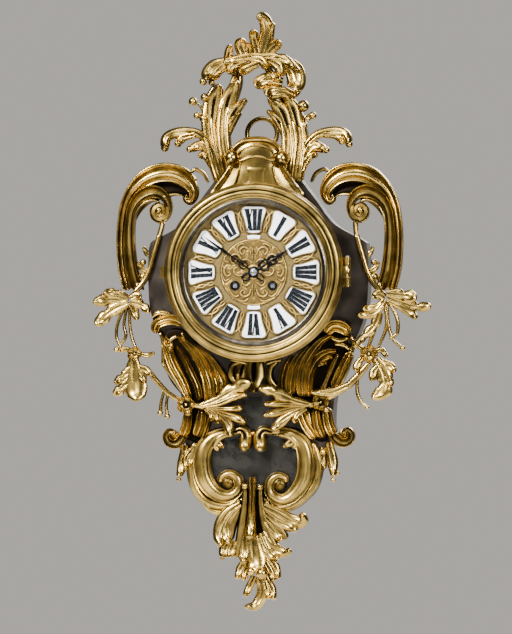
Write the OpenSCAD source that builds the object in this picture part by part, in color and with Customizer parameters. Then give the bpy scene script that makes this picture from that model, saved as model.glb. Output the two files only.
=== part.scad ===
// Rococo cartel clock of gilt bronze with a round striking movement.
// Origin: centre of the hanging ring on the wall plane. +X right, +Y into the wall, +Z up.
// "Depth" below is the distance in front of the wall, along -Y.

/* [Hanging ring] */
// Radius of the hole in the hanging ring
ring_bore_r = 15.5; // [14:0.5:17]
// Width of the ring's band
ring_band = 5.5; // [4:0.5:6.5]
// Thickness of the ring and its tang
ring_t = 5; // [4:0.5:6]
// Width of the tang
tang_w = 18; // [16:1:22]
// Shank radius of the tang and cover screws
screw_r = 2; // [1.5:0.1:2.5]
// Radius of the screw heads
screw_head_r = 3.8; // [3.4:0.1:4.4]
// Height of the screw heads
screw_head_t = 2; // [1.5:0.1:2.4]
// Length of the screw shanks
screw_len = 12; // [9:0.5:14]

/* [Case] */
// Drop from the ring's centre to the dial's centre
dial_drop = 168.6; // [168:0.2:170]
// Depth of the case's flat front
case_d = 56; // [54:1:58]
// Wall of the case
wall = 3; // [2.5:0.25:3.5]
// Half width of the case at its side lobes
lobe_half_w = 132; // [130:0.5:134]
// Outer radius of the drum that carries the dial
drum_r = 102; // [101:0.25:103]
// Wall of the drum
drum_wall = 8; // [6:0.5:9]
// Depth of the drum's front edge
drum_d = 106; // [104:1:110]
// Radius of the opening behind the dial
dial_opening_r = 86; // [82:1:88]
// Thickness of the drum's front ledge
ledge_t = 8; // [5:1:10]
// Thickness of the sheet covers
sheet_t = 1.5; // [1:0.25:2]
// Setback of the back cover from the wall plane
cover_setback = 2; // [2:0.25:3]
// Radius of the cover's screw bosses
boss_r = 5.5; // [5:0.5:7]

/* [Door] */
// Outer radius of the bezel
bezel_r = 107; // [106:0.25:108]
// Height of the bezel's moulding
bezel_t = 16; // [15:0.5:18]
// Width of the bezel's moulding
bezel_band = 19; // [18:0.5:20]
// Width of the sight ring
sight_band = 5.5; // [4:0.5:8]
// Thickness of the glass
glass_t = 1.8; // [1.5:0.1:2.2]
// Radius of the hinge knuckles
knuckle_r = 3.5; // [3:0.25:4]
// Radius of the hinge pin
hinge_pin_r = 1.5; // [1.25:0.05:1.75]
// Height of the middle knuckle
knuckle_h = 15; // [12:1:18]
// Height of each outer knuckle
ear_h = 10; // [8:1:12]

/* [Dial and hands] */
// Radius of the dial plate
dial_r = 92; // [90:0.5:94]
// Thickness of the dial plate
dial_t = 1.5; // [1.25:0.25:2]
// Height of the centre relief and the enamel plates
relief_t = 1.5; // [1.25:0.25:2]
// Radius of the embossed centre
centre_r = 39.5; // [38:0.5:40]
// Width of the bare enamel strips
strip_w = 4; // [3:0.25:4.5]
// Inner radius of the enamel plates
enamel_in_r = 46.5; // [46:0.5:48]
// Outer radius of the enamel plates
enamel_out_r = 78; // [75:0.5:80]
// Sideways distance of each winding hole from the centre
winding_x = 22.4; // [22:0.1:23]
// Drop of the winding holes below the centre
winding_drop = 16.2; // [15.8:0.1:16.6]
// Bore radius of the winding-hole bushes
bush_bore_r = 4.2; // [4:0.1:4.5]
// Width of the winding square
winding_square = 4.6; // [4:0.1:5]
// Length of the minute hand
minute_len = 74; // [68:1:78]
// Length of the hour hand
hour_len = 50; // [45:1:54]
// Minute hand's angle from twelve, clockwise
minute_angle = -54.5; // [-60:0.5:60]
// Hour hand's angle from twelve, clockwise
hour_angle = 57; // [0:0.5:90]
// Thickness of the hands
hand_t = 1; // [0.75:0.25:1.25]

/* [Movement] */
// Radius of the movement plates
plate_r = 50; // [49:0.5:52]
// Thickness of the plates
plate_t = 2; // [1.5:0.25:2.5]
// Depth of the back plate in front of the wall
back_d = 46; // [45:0.5:48]
// Length of the dial feet between front plate and dial
feet_len = 14; // [13.5:0.25:15]
// Radius of the plate pillars
pillar_r = 3; // [2.5:0.25:3.5]
// Radius of the spring barrels
barrel_r = 18.5; // [17:0.25:18.75]
// Radius of the winding arbors
winding_arbor_r = 3.2; // [3:0.1:3.4]
// Radius of the train arbors
arbor_r = 0.9; // [0.8:0.05:1]
// Radius of the train pivots
pivot_r = 0.5; // [0.4:0.05:0.6]
// Thickness of the train wheels
wheel_t = 1.3; // [1:0.1:1.5]
// Radial clearance of the running fits
run_fit = 0.05; // [0.03:0.01:0.08]
// Clearance between fixed pieces
gap = 0.3; // [0.25:0.05:0.4]
// Outer radius of the bell
bell_r = 36; // [34:0.5:37]
// Height of the bell
bell_h = 18; // [16:0.5:19]
// Wall of the bell
bell_wall = 2; // [1.5:0.25:2.5]

/* [Pendulum] */
// Length from the swing axis to the centre of the bob
pendulum_len = 172; // [165:1:176]
// Radius of the pendulum rod
rod_r = 1.5; // [1.25:0.05:1.6]
// Radius of the bob
bob_r = 20; // [18:0.5:22]
// Thickness of the bob
bob_t = 11; // [9:0.5:12]

/* [Ornament] */
// Thickness of the cast leaves
leaf_t = 2.6; // [2:0.2:3]
// Height of the scroll bands
band_t = 9; // [8:0.5:10]
// Radius of the garland flowers
flower_r = 12; // [11:0.5:13]
// Radius of the stud on the back of each casting
stud_r = 3; // [2.5:0.25:3.5]

/* [Hidden] */
$fn = 48;

gilt = "#B8923E";
brass = "#C9A24A";
steel = "#8C9096";
blued = "#1C2230";
dark_varnish = "#3A322A";
enamel = "#F7F7F2";

// Depths of the dial stack, from the drum forwards
dial_front = drum_d + dial_t;
relief_front = dial_front + relief_t;
hand_gap = 1;
hour_d = relief_front + hand_gap;
minute_d = hour_d + hand_t + hand_gap;
collet_d = minute_d + hand_t;
collet_h = 2;
bezel_d = dial_front + 0.5;
glass_d = collet_d + collet_h + hand_gap;
bezel_bore_r = bezel_r - bezel_band;
sight_r = bezel_bore_r - sight_band;
hinge_x = bezel_r + knuckle_r + 1.5;
hinge_d = bezel_d + 1;

// Depths of the movement, between the dial and the back plate
front_1 = drum_d - feet_len;
front_0 = front_1 - plate_t;
back_0 = back_d;
back_1 = back_0 + plate_t;
great_t = 3;
great_1 = front_0 - 7;
great_0 = great_1 - great_t;
barrel_0 = back_1 + 5;
fast_0 = front_0 - 4;
centre_wheel_0 = back_1 + 1.6;
third_wheel_0 = back_1 + 6;
escape_wheel_0 = back_1 + 16;
end_shake = 0.3;

// Tooth counts and modules of the trains
great_n = 60;
great_m = 0.7;
second_pinion_n = 10;
second_n = 60;
second_m = 0.55;
centre_pinion_n = 10;
centre_n = 84;
centre_m = 0.4;
third_pinion_n = 7;
third_n = 72;
third_m = 0.4;
escape_pinion_n = 6;
escape_n = 30;
escape_r = 10;
pin_n = 60;
pin_m = 0.4;
cannon_n = 14;
minute_n = 42;
minute_m = 0.5;
minute_pinion_n = 10;
hour_n = 40;
hour_m = 0.56;

// Places on the plates, seen from the front, from the dial's centre
function spread(n_a, n_b, m) = (n_a + n_b) * m / 2;
function meet(a, ra, b, rb, side) =
    let (v = b - a, l = norm(v), u = v / l, s = (ra * ra - rb * rb + l * l) / (2 * l),
        h = sqrt(ra * ra - s * s))
    a + u * s + side * h * [-u[1], u[0]];
function polar(r, a) = r * [cos(a), sin(a)];
function angle_to(a, b) = atan2(b[1] - a[1], b[0] - a[0]);

centre_at = [0, 0];
going_at = [winding_x, -winding_drop];
strike_at = [-winding_x, -winding_drop];
second_at = meet(centre_at, spread(second_n, centre_pinion_n, second_m),
    going_at, spread(great_n, second_pinion_n, great_m), 1);
escape_at = [0, 28];
third_at = meet(centre_at, spread(centre_n, third_pinion_n, centre_m),
    escape_at, spread(third_n, escape_pinion_n, third_m), 1);
anchor_rise = 14.5;
anchor_at = escape_at + [0, anchor_rise];
pin_at = strike_at + polar(spread(great_n, second_pinion_n, great_m), 129);
minute_at = polar(spread(cannon_n, minute_n, minute_m), 120);
bell_at = [12, 0];
bell_crown_d = 10;
hammer_head_r = 4;
hammer_bearing = 150;
hammer_head_at = bell_at + polar(bell_r + hammer_head_r + 1, hammer_bearing);
hammer_at = hammer_head_at + polar(16, hammer_bearing - 90);
pillar_ring_r = plate_r - 5;
pillar_angles = [5, 62, 118, 270];

// Phase that puts gear b's gap opposite gear a's tooth
function mesh_phase(a, na, pha, b, nb) =
    let (t = angle_to(a, b), fa = (t - pha) * na / 360) t + 180 - (0.5 - fa) * 360 / nb;

// Outline of a gear with slim straight teeth: root, tip, tip, root for each tooth
tooth_side = [-0.28, -0.07, 0.07, 0.28];
tooth_rise = [-1, 0.6, 0.6, -1];
function gear_points(n, m, phase) = [for (i = [0:n - 1]) for (k = [0:3])
    polar(m * (n / 2 + tooth_rise[k]), phase + 360 / n * (i + tooth_side[k]))];

// Smooth curve through given points: Catmull-Rom with a number of steps per stretch
function curve_point(a, b, c, d, t) =
    0.5 * (2 * b + (c - a) * t + (2 * a - 5 * b + 4 * c - d) * t * t
        + (3 * b - a - 3 * c + d) * t * t * t);
function curve(p, steps) = let (n = len(p) - 1) concat(
    [for (i = [0:n - 1]) for (k = [0:steps - 1])
        curve_point(p[max(i - 1, 0)], p[i], p[i + 1], p[min(i + 2, n)], k / steps)],
    [p[n]]);
function mirrored(p) = [for (q = p) [-q[0], q[1]]];
function reversed(p) = [for (i = [len(p) - 1:-1:0]) p[i]];

// Drawing plane at a depth, with its origin at the dial's centre, growing forwards
module on_dial(depth) {
    translate([0, -depth, -dial_drop]) rotate([90, 0, 0]) children();
}

// Round bar on the dial plane between two depths
module bar(at, d0, d1, r) {
    on_dial(d0) translate(at) cylinder(h = d1 - d0, r = r);
}

module gear(at, d0, d1, n, m, phase = 0) {
    on_dial(d0) translate(at) linear_extrude(d1 - d0) polygon(gear_points(n, m, phase));
}

// Train arbor with its two pivots
module arbor(at) {
    bar(at, back_1 + end_shake, front_0 - end_shake, arbor_r);
    bar(at, back_0, front_1, pivot_r);
}

// Half outline of the case, from the top down, as places from the dial's centre
case_top = 144;
case_half = [[0, case_top], [22, case_top - 1], [34, case_top - 12], [46, 118], [66, 92], [88, 62],
    [108, 48], [lobe_half_w - 8, 40], [lobe_half_w, 28], [lobe_half_w, -30], [lobe_half_w - 6, -60],
    [112, -92], [98, -125], [91, -160], [89, -200], [76, -238], [56, -268], [30, -286], [0, -292]];
case_curve = curve(case_half, 3);
case_outline = concat(case_curve, reversed([for (p = case_curve) if (p[0] > 0.01) [-p[0], p[1]]]));
cover_bosses = [[110, 0], [-110, 0], [62, -190], [-62, -190]];
tang_top = ring_bore_r + ring_band / 2;
tang_len = 50;
tang_screw_z = [-34, -45];
ring_block_d = 22;
ring_block_half = 16;
ring_block_z = -54;
flat_half_h = knuckle_h / 2 + ear_h + 1.5;
flat_d = 12;
flat_x = drum_r - 2.5;

module case_shell() color(gilt) difference() {
    union() {
        difference() {
            union() {
                on_dial(0) linear_extrude(case_d) polygon(case_outline);
                bar(centre_at, case_d - wall, drum_d, drum_r);
            }
            on_dial(-1) linear_extrude(case_d - wall + 1) offset(delta = -wall) polygon(case_outline);
            bar(centre_at, -1, drum_d - ledge_t, drum_r - drum_wall);
        }
        for (b = cover_bosses) bar(b, cover_setback + sheet_t, case_d - wall / 2, boss_r);
        translate([-ring_block_half, -ring_block_d, ring_block_z])
            cube([2 * ring_block_half, ring_block_d, case_top - dial_drop - wall / 2 - ring_block_z]);
    }
    bar(centre_at, -1, drum_d + 1, dial_opening_r);
    for (b = cover_bosses) bar(b, 0, cover_setback + sheet_t + screw_len, screw_r + run_fit);
    translate([-tang_w / 2 - gap, -ring_t, -tang_len - gap]) cube([tang_w + 2 * gap, ring_t + 1, tang_len]);
    for (z = tang_screw_z) translate([0, 0, z]) rotate([90, 0, 0])
        cylinder(h = ring_t + screw_len, r = screw_r + run_fit);
    translate([flat_x, -drum_d - 1, -dial_drop - flat_half_h])
        cube([drum_r, flat_d + 1, 2 * flat_half_h]);
}

// Dark panel on the case's front, behind the heart-shaped frame
panel_half = [[0, -150], [16, -150], [22, -186], [54, -200], [60, -232], [44, -262], [0, -276]];
module lower_panel() color(dark_varnish) on_dial(case_d) linear_extrude(sheet_t)
    polygon(concat(panel_half, reversed([for (p = panel_half) if (p[0] > 0) [-p[0], p[1]]])));

cover_top = ring_block_z + dial_drop - 2;
module back_cover() color(brass) difference() {
    on_dial(cover_setback) linear_extrude(sheet_t) intersection() {
        offset(delta = -wall - gap) polygon(case_outline);
        translate([-200, cover_top - 500]) square([400, 500]);
    }
    for (b = cover_bosses) bar(b, 0, case_d, screw_r + run_fit);
}

// Cheese-head screw, head towards the wall, seated at a depth
module screw(at, seat) {
    bar(at, seat - screw_head_t, seat, screw_head_r);
    bar(at, seat - 0.5, seat + screw_len - 1, screw_r);
}

head_seat = screw_head_t + 0.2;
module case_screws() color(steel) {
    for (b = cover_bosses) screw(b, cover_setback);
    for (z = tang_screw_z) screw([0, z + dial_drop], head_seat);
}

module hanging_ring() color(gilt) difference() {
    union() {
        rotate([90, 0, 0]) cylinder(h = ring_t, r = ring_bore_r + ring_band);
        translate([-tang_w / 2, -ring_t, -tang_len]) cube([tang_w, ring_t, tang_len - tang_top]);
    }
    translate([0, 1, 0]) rotate([90, 0, 0]) cylinder(h = ring_t + 2, r = ring_bore_r);
    for (z = tang_screw_z) translate([0, 0, z]) rotate([90, 0, 0]) {
        translate([0, 0, -1]) cylinder(h = ring_t + 2, r = screw_r + run_fit);
        translate([0, 0, -1]) cylinder(h = head_seat + 1, r = screw_head_r + run_fit);
    }
}

// Moulded ring of the door, with the lip that the glass rests on
glass_h = glass_d - bezel_d;
lip_t = 2;
module bezel() color(gilt) difference() {
    union() {
        on_dial(bezel_d) rotate_extrude($fn = 96) polygon([[bezel_bore_r, 0], [bezel_r - 1, 0],
            [bezel_r, 1], [bezel_r, 4], [bezel_r - 2.5, 6], [bezel_r - 2.5, 7.5], [bezel_r - 5, 10],
            [bezel_r - 5.5, 12], [bezel_r - 9, bezel_t - 1], [bezel_r - 12, bezel_t],
            [bezel_r - 14, bezel_t - 1], [bezel_bore_r + 2, bezel_t - 4], [bezel_bore_r, bezel_t - 4],
            [bezel_bore_r, glass_h], [bezel_bore_r - lip_t, glass_h],
            [bezel_bore_r - lip_t, glass_h - lip_t], [bezel_bore_r, glass_h - lip_t]]);
        translate([bezel_r - 4, -hinge_d - 3, -dial_drop - knuckle_h / 2])
            cube([hinge_x - bezel_r + 4, 3.8, knuckle_h]);
        translate([hinge_x, -hinge_d, -dial_drop - knuckle_h / 2]) cylinder(h = knuckle_h, r = knuckle_r);
    }
    translate([hinge_x, -hinge_d, -dial_drop - knuckle_h]) cylinder(h = 2 * knuckle_h, r = hinge_pin_r + run_fit);
}

sight_0 = glass_d + glass_t + 0.2;
module sight_ring() color("#D9D3BE") on_dial(sight_0) rotate_extrude($fn = 96)
    polygon([[sight_r, 0], [bezel_bore_r - 0.2, 0], [bezel_bore_r - 0.2, 2.6], [bezel_bore_r - 2, 3.4],
        [sight_r + 1, 1.6], [sight_r, 1.2]]);

module glass() color("#E8EEF0", 0.3) bar(centre_at, glass_d + 0.1, glass_d + glass_t, bezel_bore_r - 0.2);

catch_w = 14;
module bezel_catch() color(gilt) difference() {
    translate([-bezel_r - 5, -bezel_d - 4, -dial_drop - catch_w / 2]) cube([9, 4, catch_w]);
    bar(centre_at, bezel_d - 1, bezel_d + bezel_t, bezel_r + run_fit, $fn = 192);
}

module hinge_bracket() color(gilt) difference() {
    union() {
        translate([flat_x, -bezel_d + 2.8, -dial_drop - knuckle_h / 2 - gap - ear_h])
            cube([4, flat_d - 4, knuckle_h + 2 * gap + 2 * ear_h]);
        for (side = [-1, 1]) translate([0, 0, -dial_drop + side * (knuckle_h / 2 + gap + ear_h / 2)]) {
            translate([flat_x, -hinge_d + 3.2, -ear_h / 2]) cube([hinge_x - flat_x, 5, ear_h]);
            translate([hinge_x, -hinge_d, -ear_h / 2]) cylinder(h = ear_h, r = knuckle_r);
        }
    }
    translate([hinge_x, -hinge_d, -dial_drop - 40]) cylinder(h = 80, r = hinge_pin_r + run_fit);
}

pin_half = knuckle_h / 2 + gap + ear_h;
module hinge_pin() color(steel) translate([hinge_x, -hinge_d, -dial_drop]) {
    translate([0, 0, -pin_half]) cylinder(h = 2 * pin_half, r = hinge_pin_r);
    translate([0, 0, pin_half]) cylinder(h = 1.5, r = hinge_pin_r + 0.8);
}

// Dial plate with its three feet
pipe_r = 3.2;
dial_feet = [90, -20, -160];
foot_r = 2.5;
foot_ring_r = plate_r - 6;
bush_r = bush_bore_r + 1.4;
module dial_plate() color("#C79A3E") difference() {
    union() {
        bar(centre_at, drum_d, dial_front, dial_r);
        for (a = dial_feet) bar(polar(foot_ring_r, a), front_1, drum_d + dial_t / 2, foot_r);
    }
    bar(centre_at, drum_d - 1, dial_front + 1, pipe_r + 0.8);
    for (p = [going_at, strike_at]) bar(p, drum_d - 1, dial_front + 1, bush_bore_r);
}

module dial_centre() color(brass) difference() {
    bar(centre_at, dial_front, relief_front, centre_r);
    bar(centre_at, dial_front - 1, relief_front + 1, pipe_r + 0.8);
    for (p = [going_at, strike_at]) bar(p, dial_front - 1, relief_front + 1, bush_r + run_fit);
}

// Shield-shaped enamel plate for one hour, at twelve o'clock
enamel_half_in = 7.6;
enamel_half_out = 16;
enamel_shape = [[0, enamel_in_r], [enamel_half_in, enamel_in_r + 1.5], [enamel_half_in + 1, enamel_in_r + 5],
    [enamel_half_out - 2.5, enamel_out_r - 7], [enamel_half_out, enamel_out_r - 3.5],
    [enamel_half_out - 4, enamel_out_r - 0.8], [0, enamel_out_r]];
module enamel_cartouches() color(enamel) on_dial(dial_front) for (h = [0:11]) rotate(-30 * h)
    linear_extrude(relief_t) polygon(concat(enamel_shape, mirrored(reversed(enamel_shape))));

strip_angle = 20;
module enamel_strips() color(enamel) on_dial(dial_front) for (a = [90, 270])
    rotate(a - strip_angle / 2) rotate_extrude(angle = strip_angle)
        translate([centre_r + 0.7, 0]) square([strip_w, relief_t]);

module winding_bushes() color(blued) for (p = [going_at, strike_at]) difference() {
    bar(p, dial_front, relief_front + 0.4, bush_r);
    bar(p, dial_front - 1, relief_front + 1, bush_bore_r);
}

// Flat outline of a hand that points to twelve: hub, tapering blade, two scroll knots and a tail
module hand_outline(length, hub_r, blade, knots) {
    circle(r = hub_r);
    polygon([[-blade * 1.8, -hub_r * 2.1], [blade * 1.8, -hub_r * 2.1], [blade, 0],
        [blade * 0.45, length * 0.8], [0, length], [-blade * 0.45, length * 0.8], [-blade, 0]]);
    for (k = knots) for (side = [-1, 1]) translate([side * k[1], k[0]]) difference() {
        circle(r = k[1]);
        circle(r = k[1] * 0.55);
    }
}

cannon_r = 2;
module hour_hand() color(blued) on_dial(hour_d) rotate(-hour_angle) linear_extrude(hand_t) difference() {
    hand_outline(hour_len, 6, 1.6, [[15, 3.6], [27, 4.2], [36, 2.6]]);
    circle(r = pipe_r + run_fit);
}

module minute_hand() color(blued) on_dial(minute_d) rotate(-minute_angle) linear_extrude(hand_t) difference() {
    hand_outline(minute_len, 4.6, 1.3, [[17, 2.6], [31, 3]]);
    circle(r = cannon_r + run_fit);
}

centre_arbor_r = 1.1;
module hand_collet() color("silver") on_dial(collet_d) rotate_extrude()
    polygon([[centre_arbor_r + run_fit, 0], [4.2, 0], [4, 0.8], [2.8, collet_h * 0.8],
        [centre_arbor_r + run_fit, collet_h]]);

// Clicks lie beside the ratchets; the strike side is the mirror of the going side
click_r = 11;
click_bearing = 30;
click_tip_r = 8.6;
click_tip_turn = 42;
click_stud_r = 1;
stud_len = 9;
click_at = polar(click_r, click_bearing);
click_tip = polar(click_tip_r, click_bearing + click_tip_turn);
module ratchet_side(strike) { mirror([strike ? 1 : 0, 0, 0]) children(); }

module plate(d0) { bar(centre_at, d0, d0 + plate_t, plate_r); }

module pivot_hole(at, r) { bar(at, back_0 - 1, front_1 + 1, r + run_fit); }

module front_plate() color(brass) {
    difference() {
        plate(front_0);
        pivot_hole(centre_at, centre_arbor_r);
        for (p = [going_at, strike_at]) pivot_hole(p, winding_arbor_r);
        for (p = [second_at, third_at, escape_at, pin_at, hammer_at, anchor_at]) pivot_hole(p, pivot_r);
    }
    bar(minute_at, front_1 - 0.5, front_1 + stud_len, click_stud_r);
    for (strike = [false, true]) ratchet_side(strike)
        bar(going_at + click_at, front_1 - 0.5, front_1 + 3.4, click_stud_r);
}

back_pivot_r = 2;
hammer_arbor_r = 1.2;
module back_plate() color(brass) difference() {
    plate(back_0);
    for (p = [going_at, strike_at]) pivot_hole(p, back_pivot_r);
    for (p = [centre_at, second_at, third_at, escape_at]) pivot_hole(p, pivot_r);
    pivot_hole(pin_at, arbor_r);
    pivot_hole(hammer_at, hammer_arbor_r);
    pivot_hole(anchor_at, 4);
}

module plate_pillars() color(brass) for (a = pillar_angles)
    bar(polar(pillar_ring_r, a), back_1, front_0, pillar_r);

// Spring barrel with its toothed great wheel, free on the winding arbor
module barrel(at, phase) difference() {
    union() {
        bar(at, barrel_0, great_0 + 0.5, barrel_r);
        gear(at, great_0, great_1, great_n, great_m, phase);
    }
    bar(at, barrel_0 - 1, great_1 + 1, winding_arbor_r + run_fit);
    bar(at, barrel_0 + 1.5, great_0 - 1, barrel_r - 1.5);
}

module going_barrel() color(brass) barrel(going_at, 0);
module strike_barrel() color(brass) barrel(strike_at, 0);

// Winding arbor with ratchet and winding square
ratchet_n = 18;
ratchet_r = 7.8;
ratchet_d = front_1 + 1.2;
ratchet_t = 1.8;
module winding_arbor(at) {
    bar(at, back_0, back_1 + 1, back_pivot_r);
    bar(at, back_1 + end_shake, front_1 + 4, winding_arbor_r);
    on_dial(front_1 + 3.5) translate(at) linear_extrude(relief_front - front_1 - 4)
        square(winding_square, center = true);
}

module ratchet(at, turn) on_dial(ratchet_d) translate(at) linear_extrude(ratchet_t)
    polygon([for (i = [0:ratchet_n - 1]) for (k = [0, 1])
        polar(k == 0 ? ratchet_r : ratchet_r - 1.6, turn * (360 / ratchet_n * i + 4 * k))]);

module going_arbor() color(steel) {
    winding_arbor(going_at);
    ratchet(going_at, 1);
}

module strike_arbor() color(steel) {
    winding_arbor(strike_at);
    mirror([1, 0, 0]) ratchet(going_at, 1);
}

// Sprung pawl that lets the ratchet turn one way
module click() on_dial(ratchet_d + 0.1) translate(going_at) linear_extrude(ratchet_t - 0.2) {
    lean = polar(1.2, angle_to(click_at, click_tip) + 90);
    difference() {
        union() {
            translate(click_at) circle(r = 2.4);
            polygon([click_at + lean, click_at - lean, click_tip - lean / 4, click_tip + lean / 4]);
        }
        translate(click_at) circle(r = click_stud_r + run_fit);
    }
}

module going_click() color(steel) click();
module strike_click() color(steel) ratchet_side(true) click();

module intermediate_wheel() color(brass) {
    arbor(second_at);
    gear(second_at, great_0 - 1, great_1 + 1, second_pinion_n, great_m,
        mesh_phase(going_at, great_n, 0, second_at, second_pinion_n));
    gear(second_at, fast_0, fast_0 + wheel_t, second_n, second_m);
}

module centre_wheel() color(brass) {
    bar(centre_at, back_0, back_1 + 1, pivot_r);
    bar(centre_at, back_1 + end_shake, collet_d + collet_h * 0.9, centre_arbor_r);
    gear(centre_at, fast_0 - 1, fast_0 + wheel_t + 1, centre_pinion_n, second_m,
        mesh_phase(second_at, second_n, 0, centre_at, centre_pinion_n));
    gear(centre_at, centre_wheel_0, centre_wheel_0 + wheel_t, centre_n, centre_m);
}

module third_wheel() color(brass) {
    arbor(third_at);
    gear(third_at, centre_wheel_0 - 0.4, centre_wheel_0 + wheel_t + 0.4, third_pinion_n, centre_m,
        mesh_phase(centre_at, centre_n, 0, third_at, third_pinion_n));
    gear(third_at, third_wheel_0, third_wheel_0 + wheel_t, third_n, third_m);
}

escape_arbor_r = 0.65;
module escape_wheel() color(brass) {
    bar(escape_at, back_1 + end_shake, front_0 - end_shake, escape_arbor_r);
    bar(escape_at, back_0, front_1, pivot_r);
    gear(escape_at, third_wheel_0 - 1, third_wheel_0 + wheel_t + 1, escape_pinion_n, third_m,
        mesh_phase(third_at, third_n, 0, escape_at, escape_pinion_n));
    on_dial(escape_wheel_0) translate(escape_at) linear_extrude(wheel_t)
        polygon([for (i = [0:escape_n - 1]) for (k = [0, 1])
            polar(k == 0 ? escape_r : escape_r - 1.8, 360 / escape_n * i + 3 * k)]);
}

// Anchor with two pallets over the escape wheel
cock_0 = back_0 - 3.5;
cock_t = 2;
crutch_0 = cock_0 - 2.7;
crutch_t = 2.2;
module anchor() color(steel) {
    bar(anchor_at, crutch_0, front_0 - end_shake, arbor_r);
    bar(anchor_at, front_0 - 1, front_1, pivot_r);
    on_dial(escape_wheel_0 - 0.5) translate(anchor_at) linear_extrude(wheel_t + 1)
        polygon([[0, 2.4], [5, 1.8], [9.8, -1.5], [8.7, -6.4], [7.6, -5.6], [8, -1.6], [4, -1.4], [0, -1.6],
            [-4, -1.4], [-8, -1.6], [-7.6, -5.6], [-8.7, -6.4], [-9.8, -1.5], [-5, 1.8]]);
}

// Crutch on the anchor's arbor, with a fork round the pendulum rod
rod_d = back_0 - 9;
fork_drop = 36;
fork_gap = 0.3;
module crutch() color(steel) difference() {
    union() {
        bar(anchor_at, crutch_0, crutch_0 + crutch_t, 3);
        on_dial(crutch_0) translate(anchor_at + [-1.5, -fork_drop]) cube([3, fork_drop, crutch_t]);
        for (side = [-1, 1]) on_dial(rod_d - 2.5)
            translate(anchor_at + [side * (rod_r + fork_gap + 0.6), -fork_drop + 1])
                translate([-0.6, -1.5, 0]) cube([1.2, 3, crutch_0 + crutch_t - rod_d + 2.5]);
        on_dial(crutch_0) translate(anchor_at + [-rod_r - fork_gap - 1.2, -fork_drop - 0.5])
            cube([2 * (rod_r + fork_gap + 1.2), 3, crutch_t]);
    }
    bar(anchor_at, crutch_0 - 1, cock_0, arbor_r + run_fit);
}

// Bridge on the back plate: pivot of the anchor and clamp of the suspension spring
cock_half = 11;
module suspension_cock() color(brass) difference() {
    union() {
        on_dial(cock_0) translate(anchor_at + [-cock_half, -4]) cube([2 * cock_half, 10, cock_t]);
        for (side = [-1, 1]) on_dial(cock_0) translate(anchor_at + [side * (cock_half - 2.5) - 2.5, -4])
            cube([5, 10, back_0 - cock_0]);
        on_dial(rod_d - 3.5) translate(anchor_at + [-5, 4]) cube([10, 6, cock_0 - rod_d + 4]);
    }
    bar(anchor_at, cock_0 - 1, back_0, arbor_r + run_fit);
}

spring_w = 4;
spring_t = 0.4;
hook_drop = 6;
hook_h = 8;
module suspension_spring() color(steel) on_dial(rod_d - spring_w / 2)
    translate(anchor_at + [-spring_t / 2, -hook_drop]) cube([spring_t, hook_drop + 3.7, spring_w]);

swing_z = anchor_at[1] - dial_drop;
rod_end = pendulum_len + bob_r + 9;
module pendulum_rod() color(steel) {
    on_dial(rod_d - 2) translate(anchor_at + [-3, -hook_drop - hook_h]) cube([6, hook_h, 4]);
    translate([0, -rod_d, swing_z - rod_end]) cylinder(h = rod_end - hook_drop - hook_h + 1, r = rod_r);
}

module pendulum_bob() color(brass) difference() {
    on_dial(rod_d - bob_t / 2) translate(anchor_at - [0, pendulum_len]) rotate_extrude()
        polygon([[0, 0], [bob_r * 0.6, 0.8], [bob_r - 1.5, bob_t * 0.3], [bob_r, bob_t / 2 - 0.8],
            [bob_r, bob_t / 2 + 0.8], [bob_r - 1.5, bob_t * 0.7], [bob_r * 0.6, bob_t - 0.8], [0, bob_t]]);
    translate([0, -rod_d, swing_z - rod_end]) cylinder(h = rod_end, r = rod_r + run_fit);
}

nut_h = 4;
module rating_nut() color(brass) translate([0, -rod_d, swing_z - pendulum_len - bob_r - nut_h - 0.2])
    difference() {
        cylinder(h = nut_h, r = 4.5);
        translate([0, 0, -1]) cylinder(h = nut_h + 2, r = rod_r + run_fit);
    }

// Motion work between the front plate and the dial
cannon_0 = front_1 + 1;
minute_wheel_0 = front_1 + 2;
hour_wheel_0 = front_1 + 5.5;
module cannon_pinion() color(steel) difference() {
    union() {
        gear(centre_at, cannon_0, cannon_0 + 3, cannon_n, minute_m);
        bar(centre_at, cannon_0, collet_d, cannon_r);
    }
    bar(centre_at, front_1, collet_d + 1, centre_arbor_r + run_fit);
}

module minute_wheel() color(brass) difference() {
    union() {
        gear(minute_at, minute_wheel_0, minute_wheel_0 + wheel_t, minute_n, minute_m,
            mesh_phase(centre_at, cannon_n, 0, minute_at, minute_n));
        gear(minute_at, minute_wheel_0, hour_wheel_0 + wheel_t + 1, minute_pinion_n, hour_m);
    }
    bar(minute_at, front_1, front_1 + stud_len + 1, click_stud_r + run_fit);
}

module hour_wheel() color(brass) difference() {
    union() {
        gear(centre_at, hour_wheel_0, hour_wheel_0 + wheel_t, hour_n, hour_m,
            mesh_phase(minute_at, minute_pinion_n, 0, centre_at, hour_n));
        bar(centre_at, hour_wheel_0, hour_d + hand_t, pipe_r);
    }
    bar(centre_at, hour_wheel_0 - 1, hour_d + 2, cannon_r + run_fit);
}

// Strike train
pin_count = 8;
pin_ring_r = 9.6;
module pin_wheel() color(brass) {
    bar(pin_at, back_0 - 3.2, front_0 - end_shake, arbor_r);
    bar(pin_at, front_0 - 1, front_1, pivot_r);
    gear(pin_at, great_0 - 1, great_1 + 1, second_pinion_n, great_m,
        mesh_phase(strike_at, great_n, 0, pin_at, second_pinion_n));
    gear(pin_at, fast_0, fast_0 + wheel_t, pin_n, pin_m);
    for (i = [0:pin_count - 1]) bar(pin_at + polar(pin_ring_r, 360 / pin_count * i), fast_0 - 1.4, fast_0 + 0.5, 0.6);
}

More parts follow.
